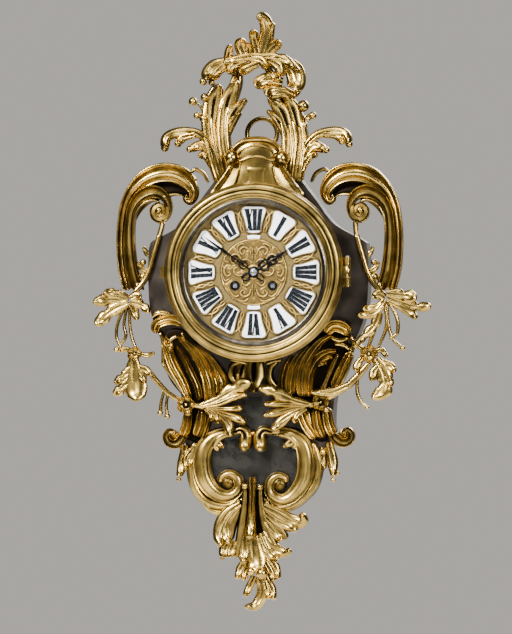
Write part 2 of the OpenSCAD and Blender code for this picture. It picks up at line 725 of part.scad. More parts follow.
// Count wheel: a slot after each hour's number of blows, out of 78
count_r = 14;
count_slots = 78;
slot_w = 0.7;
module count_wheel() color(brass) difference() {
    bar(pin_at, back_0 - 2.8, back_0 - 1.6, count_r);
    bar(pin_at, back_0 - 4, back_0, arbor_r + run_fit);
    for (h = [1:12]) on_dial(back_0 - 4) translate(pin_at) rotate(360 / count_slots * h * (h + 1) / 2)
        translate([count_r - 2.2, -slot_w / 2, 0]) cube([4, slot_w, 4]);
}

// Hammer: arbor, arm with a round head beside the bell, and a tail towards the pins
hammer_d = bell_crown_d + bell_h - 6;
tail_len = 24;
module strip(a, b, w, d0, t) on_dial(d0) translate(a) rotate(angle_to(a, b))
    translate([0, -w / 2, 0]) cube([norm(b - a), w, t]);
module hammer() color(steel) {
    bar(hammer_at, hammer_d, front_0 - end_shake, hammer_arbor_r);
    bar(hammer_at, front_0 - 1, front_1, pivot_r);
    bar(hammer_at, hammer_d, hammer_d + 4, 2.4);
    bar(hammer_head_at, hammer_d - 1, hammer_d + 5, hammer_head_r);
    strip(hammer_at, hammer_head_at, 2.4, hammer_d + 1, 2);
    strip(hammer_at, hammer_at + polar(tail_len, angle_to(hammer_at, pin_at)), 2, fast_0 - 1, wheel_t);
}

module bell() color("#C8B27A") difference() {
    on_dial(bell_crown_d) translate(bell_at) rotate_extrude($fn = 64) polygon([[0, 0], [bell_r * 0.45, 0.6],
        [bell_r * 0.78, bell_h * 0.25], [bell_r * 0.93, bell_h * 0.6], [bell_r, bell_h],
        [bell_r - bell_wall, bell_h], [bell_r * 0.93 - bell_wall, bell_h * 0.6 + 0.6],
        [bell_r * 0.78 - bell_wall, bell_h * 0.25 + 1.6], [bell_r * 0.45, 0.6 + bell_wall], [0, bell_wall]]);
    bar(bell_at, bell_crown_d - 1, bell_crown_d + bell_h, bell_bolt_r + run_fit);
}

// Post of the bell with its shouldered bolt, and the nut behind the crown
bell_bolt_r = 2;
bell_post_r = 3;
bell_nut_t = 3;
module bell_stand() color(steel) {
    bar(bell_at, bell_crown_d + bell_wall + 0.05, back_0, bell_post_r);
    bar(bell_at, bell_crown_d - bell_nut_t - 0.5, bell_crown_d + bell_wall + 1, bell_bolt_r);
    difference() {
        bar(bell_at, bell_crown_d - bell_nut_t - 0.1, bell_crown_d - 0.1, 4.5);
        bar(bell_at, 0, bell_crown_d, bell_bolt_r + run_fit);
    }
}

// Castings
// A path is a list of [x, z, half width, depth]; a section is a list of [across, height]
band_section = [[-1, 0], [-1, 0.5], [-0.5, 1], [0.5, 1], [1, 0.5], [1, 0]];
stem_section = [[-1, 0], [-0.5, 1], [0.5, 1], [1, 0]];
leaf_section = [[-1, 0.3], [-0.5, 1.5], [0.5, 1.5], [1, 0.3], [0, 0.1]];

// Point rings of a section carried square to a path
function sweep_points(c, section, t) = [for (i = [0:len(c) - 1])
    let (p = c[i], a = c[max(i - 1, 0)], b = c[min(i + 1, len(c) - 1)],
        v = [b[0] - a[0], b[1] - a[1]], u = v / norm(v))
    for (s = section) [p[0] - u[1] * s[0] * p[2], -p[3] - s[1] * t, p[1] + u[0] * s[0] * p[2]]];
function sweep_faces(n, m) = concat(
    [for (i = [0:n - 2]) for (k = [0:m - 1]) for (half = [0, 1])
        let (a = i * m + k, b = i * m + (k + 1) % m)
        half == 0 ? [a, b, b + m] : [a, b + m, a + m]],
    [[for (k = [m - 1:-1:0]) k]], [[for (k = [0:m - 1]) (n - 1) * m + k]]);

module sweep(path, section, t, steps = 2) {
    c = curve(path, steps);
    polyhedron(sweep_points(c, section, t), sweep_faces(len(c), len(section)), convexity = 6);
}

// Path with one depth from points [x, z, half width]
function flat(p, depth) = [for (q = p) [q[0], q[1], q[2], depth]];

// Leaf path through points [x, z], with a width that swells and closes at the tip
function leaf_width(s) = max(0.14, (0.5 + 0.8 * s) * (1 - s * s * s));
function leaf_path(p, w, d0, d1) = let (n = len(p) - 1)
    [for (i = [0:n]) [p[i][0], p[i][1], w * leaf_width(i / n), d0 + (d1 - d0) * i / n]];

module band(p, depth, t = band_t) { sweep(flat(p, depth), band_section, t); }
module stalk(p, depth, t) { sweep(flat(p, depth), stem_section, t); }
module leaf(p, w, d0, d1) { sweep(leaf_path(p, w, d0, d1), leaf_section, leaf_t, len(p) > 3 ? 1 : 2); }

// Round bead, berry or bud at [x, z]
module pearl(at, r, depth) { hull() translate([at[0], -depth, at[1]]) sphere(r = r, $fn = 6); }

// Stud on the back of a casting, between two depths
module stud(at, d0, d1) {
    hull() translate([at[0], -d0, at[1]]) rotate([90, 0, 0]) cylinder(h = d1 - d0, r = stud_r, $fn = 8);
}

front_seat = case_d + gap;
panel_seat = case_d + sheet_t + gap;
wing_d = 34;
stem_top_d = 44;
crest_d = stem_top_d + band_t + gap;
swag_d = front_seat + band_t + 7;
pendant_d = panel_seat + band_t + 2;

// Lobed shield with a raised rim, hollowed below to clear the drum
shield_half = [[0, -5], [16, -8], [28, -17], [34, -28], [31, -35], [24, -38], [25, -44], [34, -57],
    [53, -68], [56, -76], [30, -86], [0, -90]];
shield_curve = curve(shield_half, 3);
shield_d = front_seat + band_t + 1;
shield_t = 8;
shield_rim = 4.5;
module shield_outline() {
    difference() {
        polygon(concat(shield_curve, reversed([for (p = shield_curve) if (p[0] > 0.01) [-p[0], p[1]]])));
        translate([0, -dial_drop]) circle(r = drum_r + 1.2);
    }
}
module cartouche_shield() color(gilt) {
    translate([0, -shield_d, 0]) rotate([90, 0, 0]) difference() {
        linear_extrude(shield_t) shield_outline();
        translate([0, 0, shield_t - 3]) linear_extrude(4) offset(delta = -shield_rim) shield_outline();
    }
    for (side = [-1, 1]) translate([side * 27, -shield_d, -33]) rotate([90, 0, 0])
        cylinder(h = shield_t + 3, r = 5.5);
    translate([0, -case_d, -44]) rotate([90, 0, 0]) cylinder(h = shield_d - case_d + 1, r = 2 * stud_r);
}

// Crest: upright leaf, two branches of lobes, and curls below
crest_leaves = [[[[3, 90], [5, 106], [7, 120], [4, 134], [-2, 141]], 9],
    [[[-4, 94], [-8, 110], [-8, 126]], 6], [[[-16, 90], [-22, 102], [-21, 117]], 7],
    [[[-32, 84], [-38, 94], [-35, 107]], 7], [[[12, 92], [20, 100], [29, 107]], 6],
    [[[-48, 82], [-53, 70], [-54, 60]], 5], [[[-36, 86], [-38, 74], [-36, 63]], 6],
    [[[-24, 88], [-27, 78], [-25, 68]], 5], [[[23, 86], [27, 74], [25, 63]], 6],
    [[[20, 64], [28, 52], [40, 36]], 6], [[[16, 62], [8, 50], [5, 36]], 6]];
crest_bands = [[[4, 92, 5], [-23, 90, 7], [-42, 84, 7], [-59, 77, 6], [-66, 68, 4], [-64, 60, 2]],
    [[6, 93, 5], [24, 87, 7], [39, 79, 7], [49, 65, 5], [50, 53, 5], [45, 44, 4], [38, 48, 3]],
    [[-12, 89, 4], [3, 84, 6], [11, 72, 6], [18, 62, 5], [6, 55, 4], [-8, 53, 3]]];
crest_pearls = [[-9, 53, 5], [38, 49, 5], [-64, 60, 4], [-2, 140, 4], [25, 64, 4], [5, 37, 4], [40, 37, 4],
    [-36, 64, 4]];
module crest() color(gilt) {
    for (l = crest_leaves) leaf(l[0], l[1], crest_d, crest_d + 8);
    for (b = crest_bands) band(b, crest_d, band_t - 2);
    for (p = crest_pearls) pearl(p, p[2], crest_d + 5);
}

// Stems with side leaves and berries
stem_left = [[-26, 87, 5, stem_top_d], [-27, 70, 6, stem_top_d], [-31, 53, 13, stem_top_d],
    [-43, 35, 15, stem_top_d + 1], [-51, 14, 15, stem_top_d + 5], [-49, -8, 14, front_seat],
    [-44, -31, 14, front_seat], [-38, -52, 13, front_seat]];
stem_right = [[26, 36, 12, stem_top_d], [36, 22, 13, stem_top_d + 2], [42, 6, 14, stem_top_d + 6],
    [42, -12, 13, front_seat], [39, -32, 13, front_seat], [36, -54, 12, front_seat]];
side_leaves_left = [[[[-54, -32], [-65, -17], [-78, -5], [-93, 0], [-107, -4], [-112, -21]], 9],
    [[[-84, -2], [-94, -7], [-98, -16]], 6], [[[-50, -34], [-62, -22], [-74, -14], [-87, -23]], 8],
    [[[-48, -38], [-62, -33], [-76, -29]], 6]];
side_leaves_right = [[[[52, -28], [63, -13], [79, -3], [95, 0], [106, -5], [107, -20]], 9],
    [[[84, -2], [92, -7], [97, -15]], 6], [[[48, -36], [58, -21], [70, -13], [81, -24]], 8],
    [[[46, -38], [58, -34], [70, -29]], 6]];
berries_left = [[-67, 60, 4.2], [-58, 59, 3.6], [-63, 42, 4.8], [-79, 37, 4.2], [-76, 20, 3.6], [-66, 15, 4.2],
    [-72, 30, 3], [-62, 27, 3]];
berries_right = [[54, 32, 6.6], [65, 19, 4.2], [56, 8, 3.6], [60, 5, 3.6], [58, 22, 3], [62, 27, 3],
    [49, 27, 3], [52, 40, 3.6]];
stalk_w = 1.6;
module stem(path, leaves, berries) {
    sweep(path, band_section, band_t, 3);
    for (l = leaves) leaf(l[0], l[1], front_seat + 1, front_seat - 3);
    for (b = berries) {
        pearl(b, b[2], stem_top_d + 4);
        root = path[len(path) - 4];
        stalk([[root[0], root[1] + 8, stalk_w], [(root[0] + b[0]) / 2, (root[1] + b[1]) / 2 + 6, stalk_w],
            [b[0], b[1], stalk_w]], stem_top_d + 3, 2.4);
    }
}
module left_stem() color(gilt) stem(stem_left, side_leaves_left, berries_left);
module right_stem() color(gilt) stem(stem_right, side_leaves_right, berries_right);

// Wing: broad fluted C that splits into an inner volute and an outer leaf tip
wing_band = [[-150, -190, 7], [-161, -148, 8], [-162, -108, 8], [-158, -80, 11], [-144, -58, 14],
    [-122, -50, 13], [-101, -50, 11], [-87, -60, 8], [-84, -72, 5]];
wing_volute = [[-154, -92, 5], [-143, -79, 7], [-127, -74, 7], [-112, -79, 6], [-106, -92, 5], [-112, -104, 5],
    [-124, -105, 4], [-130, -96, 4], [-125, -88, 3]];
// Places where the wing's two rods meet the case's shoulder and side
case_ledge = 42.2 - dial_drop;
case_side = lobe_half_w + 0.8 + gap;
wing_pearls = [[-120, -94, 6], [-87, -76, 6], [-103, -63, 4], [-141.5, -157, 4], [-139, -165, 4], [-147, -175, 4]];
module wing() {
    band(wing_band, wing_d, band_t + 1);
    band(wing_volute, wing_d + 1, band_t + 2);
    for (p = wing_pearls) pearl(p, p[2], wing_d + 6);
    band([[-118, -104, 3], [-125, -117, 3], [-121, case_ledge, 3]], wing_d + 2, 6);
    band([[-152, -150, 3], [-142.5, -163.8, 3], [-case_side, -165, 3]], wing_d + 2, 5);
    stud([-160, -130], wing_d - 2, wing_d + 4);
    stud([-128, -74], wing_d - 2, wing_d + 4);
}
module left_c_scroll() color(gilt) wing();
module right_c_scroll() color(gilt) mirror([1, 0, 0]) wing();

// Garlands: leaf spray, stems, flower, leaf, branch, flower and a long leaf
petals = 5;
petal_step = 0.23;
petal_taper = 0.007;
module flower(at, depth) {
    for (i = [0:petals - 1]) hull() translate([at[0], -depth - petal_step * i, at[1]])
        rotate([0, 360 / petals * i, 0]) translate([flower_r * 0.56, 0, 0]) scale([1.25, 0.6, 0.9])
            sphere(r = flower_r * (0.34 - petal_taper * i), $fn = 6);
    pearl(at, flower_r * 0.34, depth + 3);
}
swag_leaves_left = [[[[-152, -200], [-168, -195], [-184, -194]], 6], [[[-153, -203], [-176, -202], [-197, -206]], 8],
    [[[-154, -206], [-176, -214], [-193, -231]], 8], [[[-150, -200], [-143, -196], [-137, -197]], 5],
    [[[-151, -204], [-138, -208], [-128, -218]], 7], [[[-152, -207], [-146, -214], [-139, -223]], 6],
    [[[-148, -272], [-143, -290], [-142, -308], [-145, -323]], 11], [[[-150, -282], [-162, -294], [-171, -303]], 7],
    [[[-150, -296], [-162, -308], [-171, -317]], 7], [[[-142, -286], [-132, -292], [-125, -302]], 6],
    [[[-70, -328], [-50, -320], [-30, -309], [-8, -300]], 9], [[[-70, -330], [-44, -330], [-13, -329]], 9],
    [[[-70, -332], [-42, -340], [-14, -348]], 9], [[[-68, -334], [-46, -346], [-28, -366]], 9],
    [[[-71, -336], [-54, -344], [-42, -353]], 7]];
swag_stems_left = [[[-154, -206, 2], [-166, -232, 2], [-167, -245, 2], [-160, -258, 2]],
    [[-153, -208, 2], [-157, -232, 2], [-154, -244, 2], [-166, -258, 2]],
    [[-152, -208, 2], [-154, -238, 2], [-150, -256, 2], [-147, -264, 2]],
    [[-147, -268, 3], [-148, -274, 4], [-146, -282, 4]],
    [[-140, -288, 3], [-120, -302, 3], [-108, -314, 3], [-92, -324, 3]],
    [[-112, -310, 2], [-116, -324, 2], [-115, -336, 2.4]], [[-80, -328, 3], [-68, -330, 4]]];
swag_flowers_left = [[-147, -265], [-84, -328]];
swag_leaves_right = [[[[156, -195], [176, -194], [193, -199]], 8], [[[157, -198], [186, -202], [211, -211]], 9],
    [[[156, -201], [176, -210], [194, -225]], 7], [[[153, -196], [144, -197], [136, -202]], 6],
    [[[153, -200], [134, -206], [121, -220]], 8], [[[150, -222], [134, -232], [135, -247]], 6],
    [[[140, -270], [153, -290], [154, -308], [138, -318]], 10], [[[150, -282], [160, -284], [167, -289]], 6],
    [[[154, -296], [162, -304], [166, -314]], 6], [[[146, -284], [140, -292], [139, -301]], 6],
    [[[66, -327], [50, -318], [28, -309], [3, -306]], 9], [[[66, -329], [40, -328], [10, -326]], 9],
    [[[66, -331], [38, -336], [7, -340]], 9], [[[66, -333], [42, -344], [17, -360]], 9],
    [[[68, -334], [54, -344], [44, -354]], 7]];
swag_stems_right = [[[155, -202, 2], [157, -232, 2], [152, -250, 2]],
    [[157, -202, 2], [168, -232, 2], [167, -250, 2]], [[158, -206, 2], [162, -240, 2], [175, -259, 2]],
    [[154, -206, 2], [148, -234, 2], [138, -258, 2]], [[136, -268, 3], [140, -274, 4], [146, -282, 4]],
    [[134, -267, 3], [118, -297, 3], [106, -310, 3], [86, -320, 3]],
    [[126, -286, 2], [124, -308, 2], [132, -330, 2.4]], [[76, -325, 3], [66, -328, 4]]];
swag_flowers_right = [[134, -266], [79, -325]];
swag_berries = 3.4;
module garland(leaves, stems, flowers) {
    for (l = leaves) leaf(l[0], l[1], swag_d, swag_d + 3);
    for (s = stems) stalk(s, swag_d, 4);
    for (f = flowers) flower(f, swag_d + 4);
    for (s = stems) pearl(s[len(s) - 1], swag_berries, swag_d + 2);
    stud(flowers[1], front_seat, swag_d + 7);
}
module left_garland() color(gilt) garland(swag_leaves_left, swag_stems_left, swag_flowers_left);
module right_garland() color(gilt) garland(swag_leaves_right, swag_stems_right, swag_flowers_right);

// Console: curl at the top, ribs drawn together and spread again, volute and leaf below
console_bands = [[[-122, -240, 3], [-119, -229, 4], [-107, -224, 5], [-95, -231, 4], [-96, -242, 3]],
    [[-113, -260, 4], [-102, -279, 4], [-91, -297, 4], [-84, -316, 4]],
    [[-89, -264, 4], [-78, -285, 4], [-72, -303, 4], [-69, -318, 4]],
    [[-80, -267, 3], [-65, -281, 3], [-59, -303, 3], [-57, -320, 3]],
    [[-54, -280, 5], [-45, -289, 5], [-40, -312, 4]],
    [[-80, -338, 3], [-83, -351, 3], [-92, -360, 3]], [[-69, -338, 3], [-72, -351, 3], [-78, -360, 3]],
    [[-57, -338, 3], [-64, -350, 3], [-68, -358, 3]],
    [[-92, -357, 4], [-104, -353, 4], [-115, -359, 4], [-118, -370, 4], [-110, -379, 4], [-100, -375, 3],
        [-100, -367, 3]]];
console_leaves = [[[[-112, -244], [-106, -256], [-108, -268]], 6], [[[-106, -380], [-100, -394], [-93, -409]], 7]];
console_pearls = [[-106, -366, 6], [-94, -412, 4], [-89, -263, 4], [-80, -266, 3.6], [-54, -279, 4.6],
    [-113, -259, 4], [-119, -238, 4], [-97, -242, 4]];
console_webs = [[[-117, -238, 3], [-113, -247, 3], [-112, -262, 3]],
    [[-112, -266, 2], [-88, -270, 2], [-54, -284, 2]], [[-84, -313, 2], [-66, -316, 2], [-40, -310, 2]],
    [[-70, -314, 2], [-69, -328, 2], [-69, -340, 2]], [[-81, -343, 2], [-70, -344, 2], [-58, -342, 2]]];
module console() {
    for (b = console_bands) stalk(b, front_seat, band_t - 1);
    for (w = console_webs) stalk(w, front_seat, 3);
    for (l = console_leaves) leaf(l[0], l[1], front_seat, front_seat + 4);
    for (p = console_pearls) pearl(p, p[2], front_seat + 5);
}
module left_console() color(gilt) console();
module right_console() color(gilt) mirror([1, 0, 0]) console();

// Shell motif under the door: leaf, two curls and a row of beads that follows the drum
bead_r = 2.2;
bead_ring_r = drum_r + bead_r + 2.5;
apron_z = -dial_drop - drum_r - 5.4;
module bezel_apron() color(gilt) {
    leaf([[0, apron_z], [-1, apron_z - 14], [0, apron_z - 36]], 13, front_seat, front_seat + 6);
    for (side = [-1, 1]) {
        band([[side * 8, apron_z - 4, 3], [side * 22, apron_z - 5, 4], [side * 29, apron_z - 14, 4],
            [side * 24, apron_z - 24, 3], [side * 17, apron_z - 20, 3]], front_seat, band_t - 1);
        band([[0, apron_z - 2, 2], [side * 10, apron_z - 1, 2], [side * 20, apron_z + 1, 2]], front_seat, 4);
    }
    for (i = [-4:4]) pearl(polar(bead_ring_r, 270 + 2.4 * i) - [0, dial_drop], bead_r, front_seat + bead_r);
}

// Heart: two C-scrolls with curled ends inside two outer bands
heart_inner = [[-17, -376, 3], [-14, -368, 4], [-24, -362, 5], [-38, -364, 7], [-52, -373, 8], [-60, -390, 9],
    [-61, -406, 9], [-56, -423, 8], [-46, -434, 6], [-34, -437, 5], [-25, -430, 4], [-28, -421, 3], [-36, -420, 3]];
heart_outer = [[-71, -374, 3], [-78, -388, 4], [-80, -406, 4], [-76, -426, 4], [-65, -441, 4], [-52, -450, 4],
    [-38, -449, 4], [-24, -443, 3]];
heart_pearls = [[-18, -376, 5], [-73, -404, 5], [-33, -428, 5], [-36, -374, 4], [-24, -442, 4], [-71, -374, 4]];
module heart_side() {
    band(heart_inner, panel_seat, band_t);
    band(heart_outer, front_seat, band_t - 2);
    leaf([[-52, -374], [-42, -374], [-34, -382]], 6, panel_seat + 4, panel_seat + 8);
    for (p = heart_pearls) pearl(p, p[2], panel_seat + 5);
}
module heart_frame() color(gilt) {
    heart_side();
    mirror([1, 0, 0]) heart_side();
    band([[-26, -444, 3], [0, -440, 4], [26, -444, 3]], panel_seat, 5);
}

// Pendant: tongue, spreading leaves, a fluted cup and the tip
pendant_leaves = [[[[-18, -448], [-42, -463], [-50, -481], [-44, -510]], 9], [[[-14, -452], [-25, -472], [-28, -491]], 8],
    [[[-2, -446], [30, -457], [56, -460], [51, -474]], 9], [[[6, -456], [16, -480], [29, -490]], 8],
    [[[4, -472], [14, -495], [36, -503]], 8], [[[-8, -486], [-20, -512], [-26, -535]], 8],
    [[[4.7, -486.6], [16, -510], [23, -531]], 8], [[[-6, -484], [-12, -510], [-8, -532]], 8],
    [[[0.9, -483.2], [6, -510], [4, -532]], 8], [[[2, -526], [4, -545], [-4, -562], [-16, -570]], 8],
    [[[-6, -526], [-14, -544], [-14, -558]], 6], [[[8, -526], [19, -546], [17, -561]], 6]];
pendant_pearls = [[2, -529, 7], [-8, -526, 5], [-22, -514, 5], [-4.4, -490.7, 7], [56, -463, 4], [-45.3, -508.3, 4],
    [36, -503, 4], [-16, -569, 3.4]];
module pendant() color(gilt) {
    band([[-6, -420, 4], [-6, -440, 6], [-5, -465, 6], [-4, -490, 7]], pendant_d, band_t);
    for (l = pendant_leaves) leaf(l[0], l[1], pendant_d, pendant_d - 2);
    for (p = pendant_pearls) pearl(p, p[2], pendant_d + 3);
    stud([-5, -453], front_seat, pendant_d + 2);
}

case_shell();
lower_panel();
back_cover();
case_screws();
hanging_ring();
cartouche_shield();
crest();
left_stem();
right_stem();
left_c_scroll();
right_c_scroll();
left_garland();
right_garland();
left_console();
right_console();
bezel_apron();
heart_frame();
pendant();
bezel();
sight_ring();
glass();
bezel_catch();
hinge_bracket();
hinge_pin();
dial_plate();
dial_centre();
enamel_cartouches();
enamel_strips();
winding_bushes();
hour_hand();
minute_hand();
hand_collet();
front_plate();
back_plate();
plate_pillars();
going_barrel();
going_arbor();
strike_barrel();
strike_arbor();
going_click();
strike_click();
intermediate_wheel();
centre_wheel();
third_wheel();
escape_wheel();
anchor();
crutch();
suspension_cock();
suspension_spring();
pendulum_rod();
pendulum_bob();
rating_nut();
cannon_pinion();
minute_wheel();
hour_wheel();
pin_wheel();
count_wheel();
hammer();
bell();
bell_stand();
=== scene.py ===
"""Looks of a rococo cartel clock: chased castings, dial, hands, finishes and a plain studio."""

import math
from dataclasses import dataclass

import bpy
import numpy as np
from bpy.props import FloatProperty, FloatVectorProperty, PointerProperty
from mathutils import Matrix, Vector


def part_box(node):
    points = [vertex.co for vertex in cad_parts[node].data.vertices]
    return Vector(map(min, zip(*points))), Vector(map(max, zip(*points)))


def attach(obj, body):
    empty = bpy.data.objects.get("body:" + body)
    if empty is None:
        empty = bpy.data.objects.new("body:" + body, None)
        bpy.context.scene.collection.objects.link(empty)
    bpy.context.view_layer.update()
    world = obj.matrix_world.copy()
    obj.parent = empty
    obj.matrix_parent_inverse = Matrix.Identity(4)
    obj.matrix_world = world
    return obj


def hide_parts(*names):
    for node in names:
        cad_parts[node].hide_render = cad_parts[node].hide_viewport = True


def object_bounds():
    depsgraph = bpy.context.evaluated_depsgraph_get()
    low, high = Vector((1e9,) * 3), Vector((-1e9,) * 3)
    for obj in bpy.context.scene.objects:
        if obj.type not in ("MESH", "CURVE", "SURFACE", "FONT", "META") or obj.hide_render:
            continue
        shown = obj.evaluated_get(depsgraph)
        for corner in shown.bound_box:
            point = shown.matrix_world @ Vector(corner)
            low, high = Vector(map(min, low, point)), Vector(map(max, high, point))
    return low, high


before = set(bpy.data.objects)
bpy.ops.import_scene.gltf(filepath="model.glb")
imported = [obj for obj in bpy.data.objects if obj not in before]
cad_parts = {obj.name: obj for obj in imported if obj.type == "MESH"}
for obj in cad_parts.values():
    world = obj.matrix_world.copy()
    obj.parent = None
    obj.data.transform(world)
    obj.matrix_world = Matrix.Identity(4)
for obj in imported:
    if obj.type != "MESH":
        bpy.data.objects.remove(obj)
CAD_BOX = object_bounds()

bl_info = {
    "name": "Cartel clock",
    "version": (1, 0, 0),
    "blender": (4, 5, 0),
    "location": "View3D > Sidebar > Clock",
    "description": "Dresses the solids of a gilt-bronze wall clock",
    "category": "Object",
}

MM = 0.001
# Patina on the unfinished backs of castings, from 0 to 1
BACK_RECESS = 0.5
# Patina added to castings, or rubbed off where the share is negative; the shares of the stem tips, wing
# hood, shell and heart are painted shadow on parts that lie in shade
PATINA_AND_SHADE = {
    "bezel": 0.32, "shield": -0.3, "stem tips": 0.32, "wing hood": 0.35, "console flutes": -0.25,
    "shell": 0.4, "heart": 0.22, "pendant flutes": 0.62,
}
# Square of the least share of the width at a rounded end, so that no ring shrinks to a point
LEAST_END = 0.003
# Radius left open along the axis of a turned piece
CORE_R = 0.3
# Points taken along each span of a curve
SPAN_STEPS = 24


def front_of(node):
    """Depth of a node's front, in millimetres."""
    return -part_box(node)[0].y / MM


def back_of(node):
    """Depth of a node's back, in millimetres."""
    return -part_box(node)[1].y / MM


# Places on the clock in millimetres: heights from the hanging ring, depths in front of the wall
GLASS_LOW, GLASS_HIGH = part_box("glass")
BEZEL_OVER_GLASS = 19.2
BEZEL_R = (GLASS_HIGH.x - GLASS_LOW.x) / 2 / MM + BEZEL_OVER_GLASS
BEZEL_BACK = back_of("bezel_catch")
DIAL_Z = (GLASS_LOW.z + GLASS_HIGH.z) / 2 / MM
DIAL_FRONT = back_of("dial_centre")
RELIEF_FRONT = front_of("dial_centre")
SEAT_GAP = 0.3
FRONT_SEAT = back_of("heart_frame")
PANEL_SEAT = front_of("lower_panel") + SEAT_GAP
CREST_D = back_of("crest")
WING_D = 34.0
SWAG_D = 72.0
PENDANT_D = 68.8
# Photograph: column of the clock's axis, row of the ring's centre, and the size of a pixel in millimetres
AXIS_COLUMN = 262.5
RING_ROW = 132
PIXEL_SIZE = 1.2
# Shift to the left in the view for each millimetre before the wall
VIEW_SLANT = 0.096
# Depths of the pieces whose places were picked on the photograph
STEM_VIEW_D, BERRY_VIEW_D, WING_VIEW_D = 55, 48, 38


def from_photo(depth, *picked):
    """Places picked on the photograph as (column, row, half width), in millimetres to a tenth."""
    return [
        (
            round((column - AXIS_COLUMN) * PIXEL_SIZE + VIEW_SLANT * depth, 1),
            round((RING_ROW - row) * PIXEL_SIZE, 1),
            round(half_width * PIXEL_SIZE, 1),
        )
        for column, row, half_width in picked
    ]


@dataclass
class Patch:
    """Closed grid of points: columns wrap round, and rows wrap too on a ring."""

    points: np.ndarray
    recess: np.ndarray
    ring: bool = False


def smooth_path(points, count):
    """Catmull-Rom curve through the points, sampled at even steps of its length in the picture plane."""
    p = np.asarray(points, float)
    q = np.vstack([2 * p[0] - p[1], p, 2 * p[-1] - p[-2]])
    a, b, c, d = (q[i : len(q) - 3 + i, None, :] for i in range(4))
    t = np.linspace(0, 1, SPAN_STEPS, endpoint=False)[None, :, None]
    curve = 0.5 * (2 * b + (c - a) * t + (2 * a - 5 * b + 4 * c - d) * t**2 + (3 * b - a - 3 * c + d) * t**3)
    curve = np.vstack([curve.reshape(-1, p.shape[1]), p[-1:]])
    steps = np.linalg.norm(np.diff(curve[:, :2], axis=0), axis=1)
    run = np.concatenate([[0], np.cumsum(steps)])
    at = np.linspace(0, run[-1], count)
    return np.column_stack([np.interp(at, run, column) for column in curve.T]), at


def whole_outline(half_outline, count):
    """Closed outline from its right half, smoothed and mirrored."""
    half, _ = smooth_path(half_outline, count)
    return np.vstack([half, (half * (-1, 1))[-2:0:-1]])


def directions(path):
    """Unit tangents and normals of a path in the picture plane."""
    tangent = np.gradient(path[:, :2], axis=0)
    tangent /= np.linalg.norm(tangent, axis=1, keepdims=True)
    return tangent, np.column_stack([-tangent[:, 1], tangent[:, 0]])


def along(values, count):
    """A value, or several spaced evenly along a path, at count places."""
    values = np.atleast_1d(np.asarray(values, float))
    return np.interp(np.linspace(0, 1, count), np.linspace(0, 1, len(values)), values)


def place(x, depth, z):
    """Points from millimetres across, forwards and up."""
    return np.stack(np.broadcast_arrays(x, -np.asarray(depth), z), -1) * MM


def round_end(distance):
    """Share of the width at a distance from an end, counted in half widths: a quarter circle."""
    return np.sqrt(np.clip(1 - np.clip(1 - distance, 0, 1) ** 2, LEAST_END, 1))


def smooth_section(points, count=44):
    """Front of a section smoothed through (across, height, recess) points, closed by a flat back."""
    front, _ = smooth_path(points, count)
    edge = np.array([[front[-1, 0], 0, BACK_RECESS], [front[0, 0], 0, BACK_RECESS]])
    return np.vstack([front, edge])


SCROLL_SECTION = smooth_section([
    (-1, 0.1, 1), (-0.98, 0.5, 0.3), (-0.86, 0.72, 0), (-0.72, 0.68, 0.3), (-0.62, 0.56, 0.6),
    (-0.48, 0.68, 0.2), (-0.25, 0.94, 0), (0.05, 1.0, 0), (0.3, 0.88, 0.1), (0.46, 0.64, 0.5),
    (0.55, 0.52, 0.7), (0.64, 0.64, 0.3), (0.78, 0.95, 0), (0.92, 0.86, 0), (1, 0.5, 0.3), (1, 0.1, 1),
])
HOLLOW_SECTION = smooth_section([
    (-1, 0.1, 1), (-1, 0.6, 0.2), (-0.88, 0.9, 0), (-0.74, 0.8, 0.3), (-0.6, 0.55, 0.8),
    (-0.3, 0.36, 0.75), (0.05, 0.34, 0.6), (0.4, 0.5, 0.4), (0.62, 0.72, 0.4), (0.8, 0.98, 0),
    (0.94, 0.85, 0), (1, 0.5, 0.3), (1, 0.1, 1),
])
RIB_SECTION = smooth_section([
    (-1, 0.05, 1), (-0.9, 0.5, 0.5), (-0.55, 0.9, 0), (0, 1.0, 0), (0.55, 0.9, 0), (0.9, 0.5, 0.5),
    (1, 0.05, 1),
], count=22)
FLUTE_SECTION = smooth_section([
    (-1, 0.1, 1), (-0.95, 0.55, 0.4), (-0.8, 0.8, 0), (-0.6, 0.78, 0), (-0.42, 0.66, 0.5),
    (-0.24, 0.84, 0), (0.05, 1.0, 0), (0.3, 0.88, 0), (0.46, 0.72, 0.5), (0.6, 0.86, 0), (0.8, 0.94, 0),
    (0.95, 0.6, 0.4), (1, 0.1, 1),
])
BAND_SECTION = smooth_section([
    (-1, 0.1, 1), (-0.97, 0.5, 0.2), (-0.86, 0.7, 0), (-0.72, 0.64, 0.4), (-0.42, 0.88, 0), (0, 1, 0),
    (0.42, 0.92, 0), (0.7, 0.68, 0.4), (0.85, 0.78, 0), (0.97, 0.5, 0.2), (1, 0.1, 1),
])
STEM_SECTION = smooth_section([
    (-1, 0.1, 1), (-0.92, 0.5, 0.4), (-0.66, 0.8, 0), (-0.36, 0.86, 0), (-0.1, 0.74, 0.3),
    (0.04, 0.68, 0.5), (0.2, 0.8, 0.2), (0.5, 0.98, 0), (0.74, 0.9, 0), (0.94, 0.5, 0.4), (1, 0.1, 1),
])
# Ground behind the ribs, dark all over: painted shade between the ribs
SHADE_GROUND_SECTION = smooth_section([
    (-1, 0.1, 1), (-0.9, 0.8, 1), (-0.5, 1, 1), (0.5, 1, 1), (0.9, 0.8, 1), (1, 0.1, 1),
], count=20)
FLAT_SECTION = np.array([(-1, 0, 0), (-1, 0.7, 0), (-0.7, 1, 0), (0.7, 1, 0), (1, 0.7, 0), (1, 0, 0)], float)


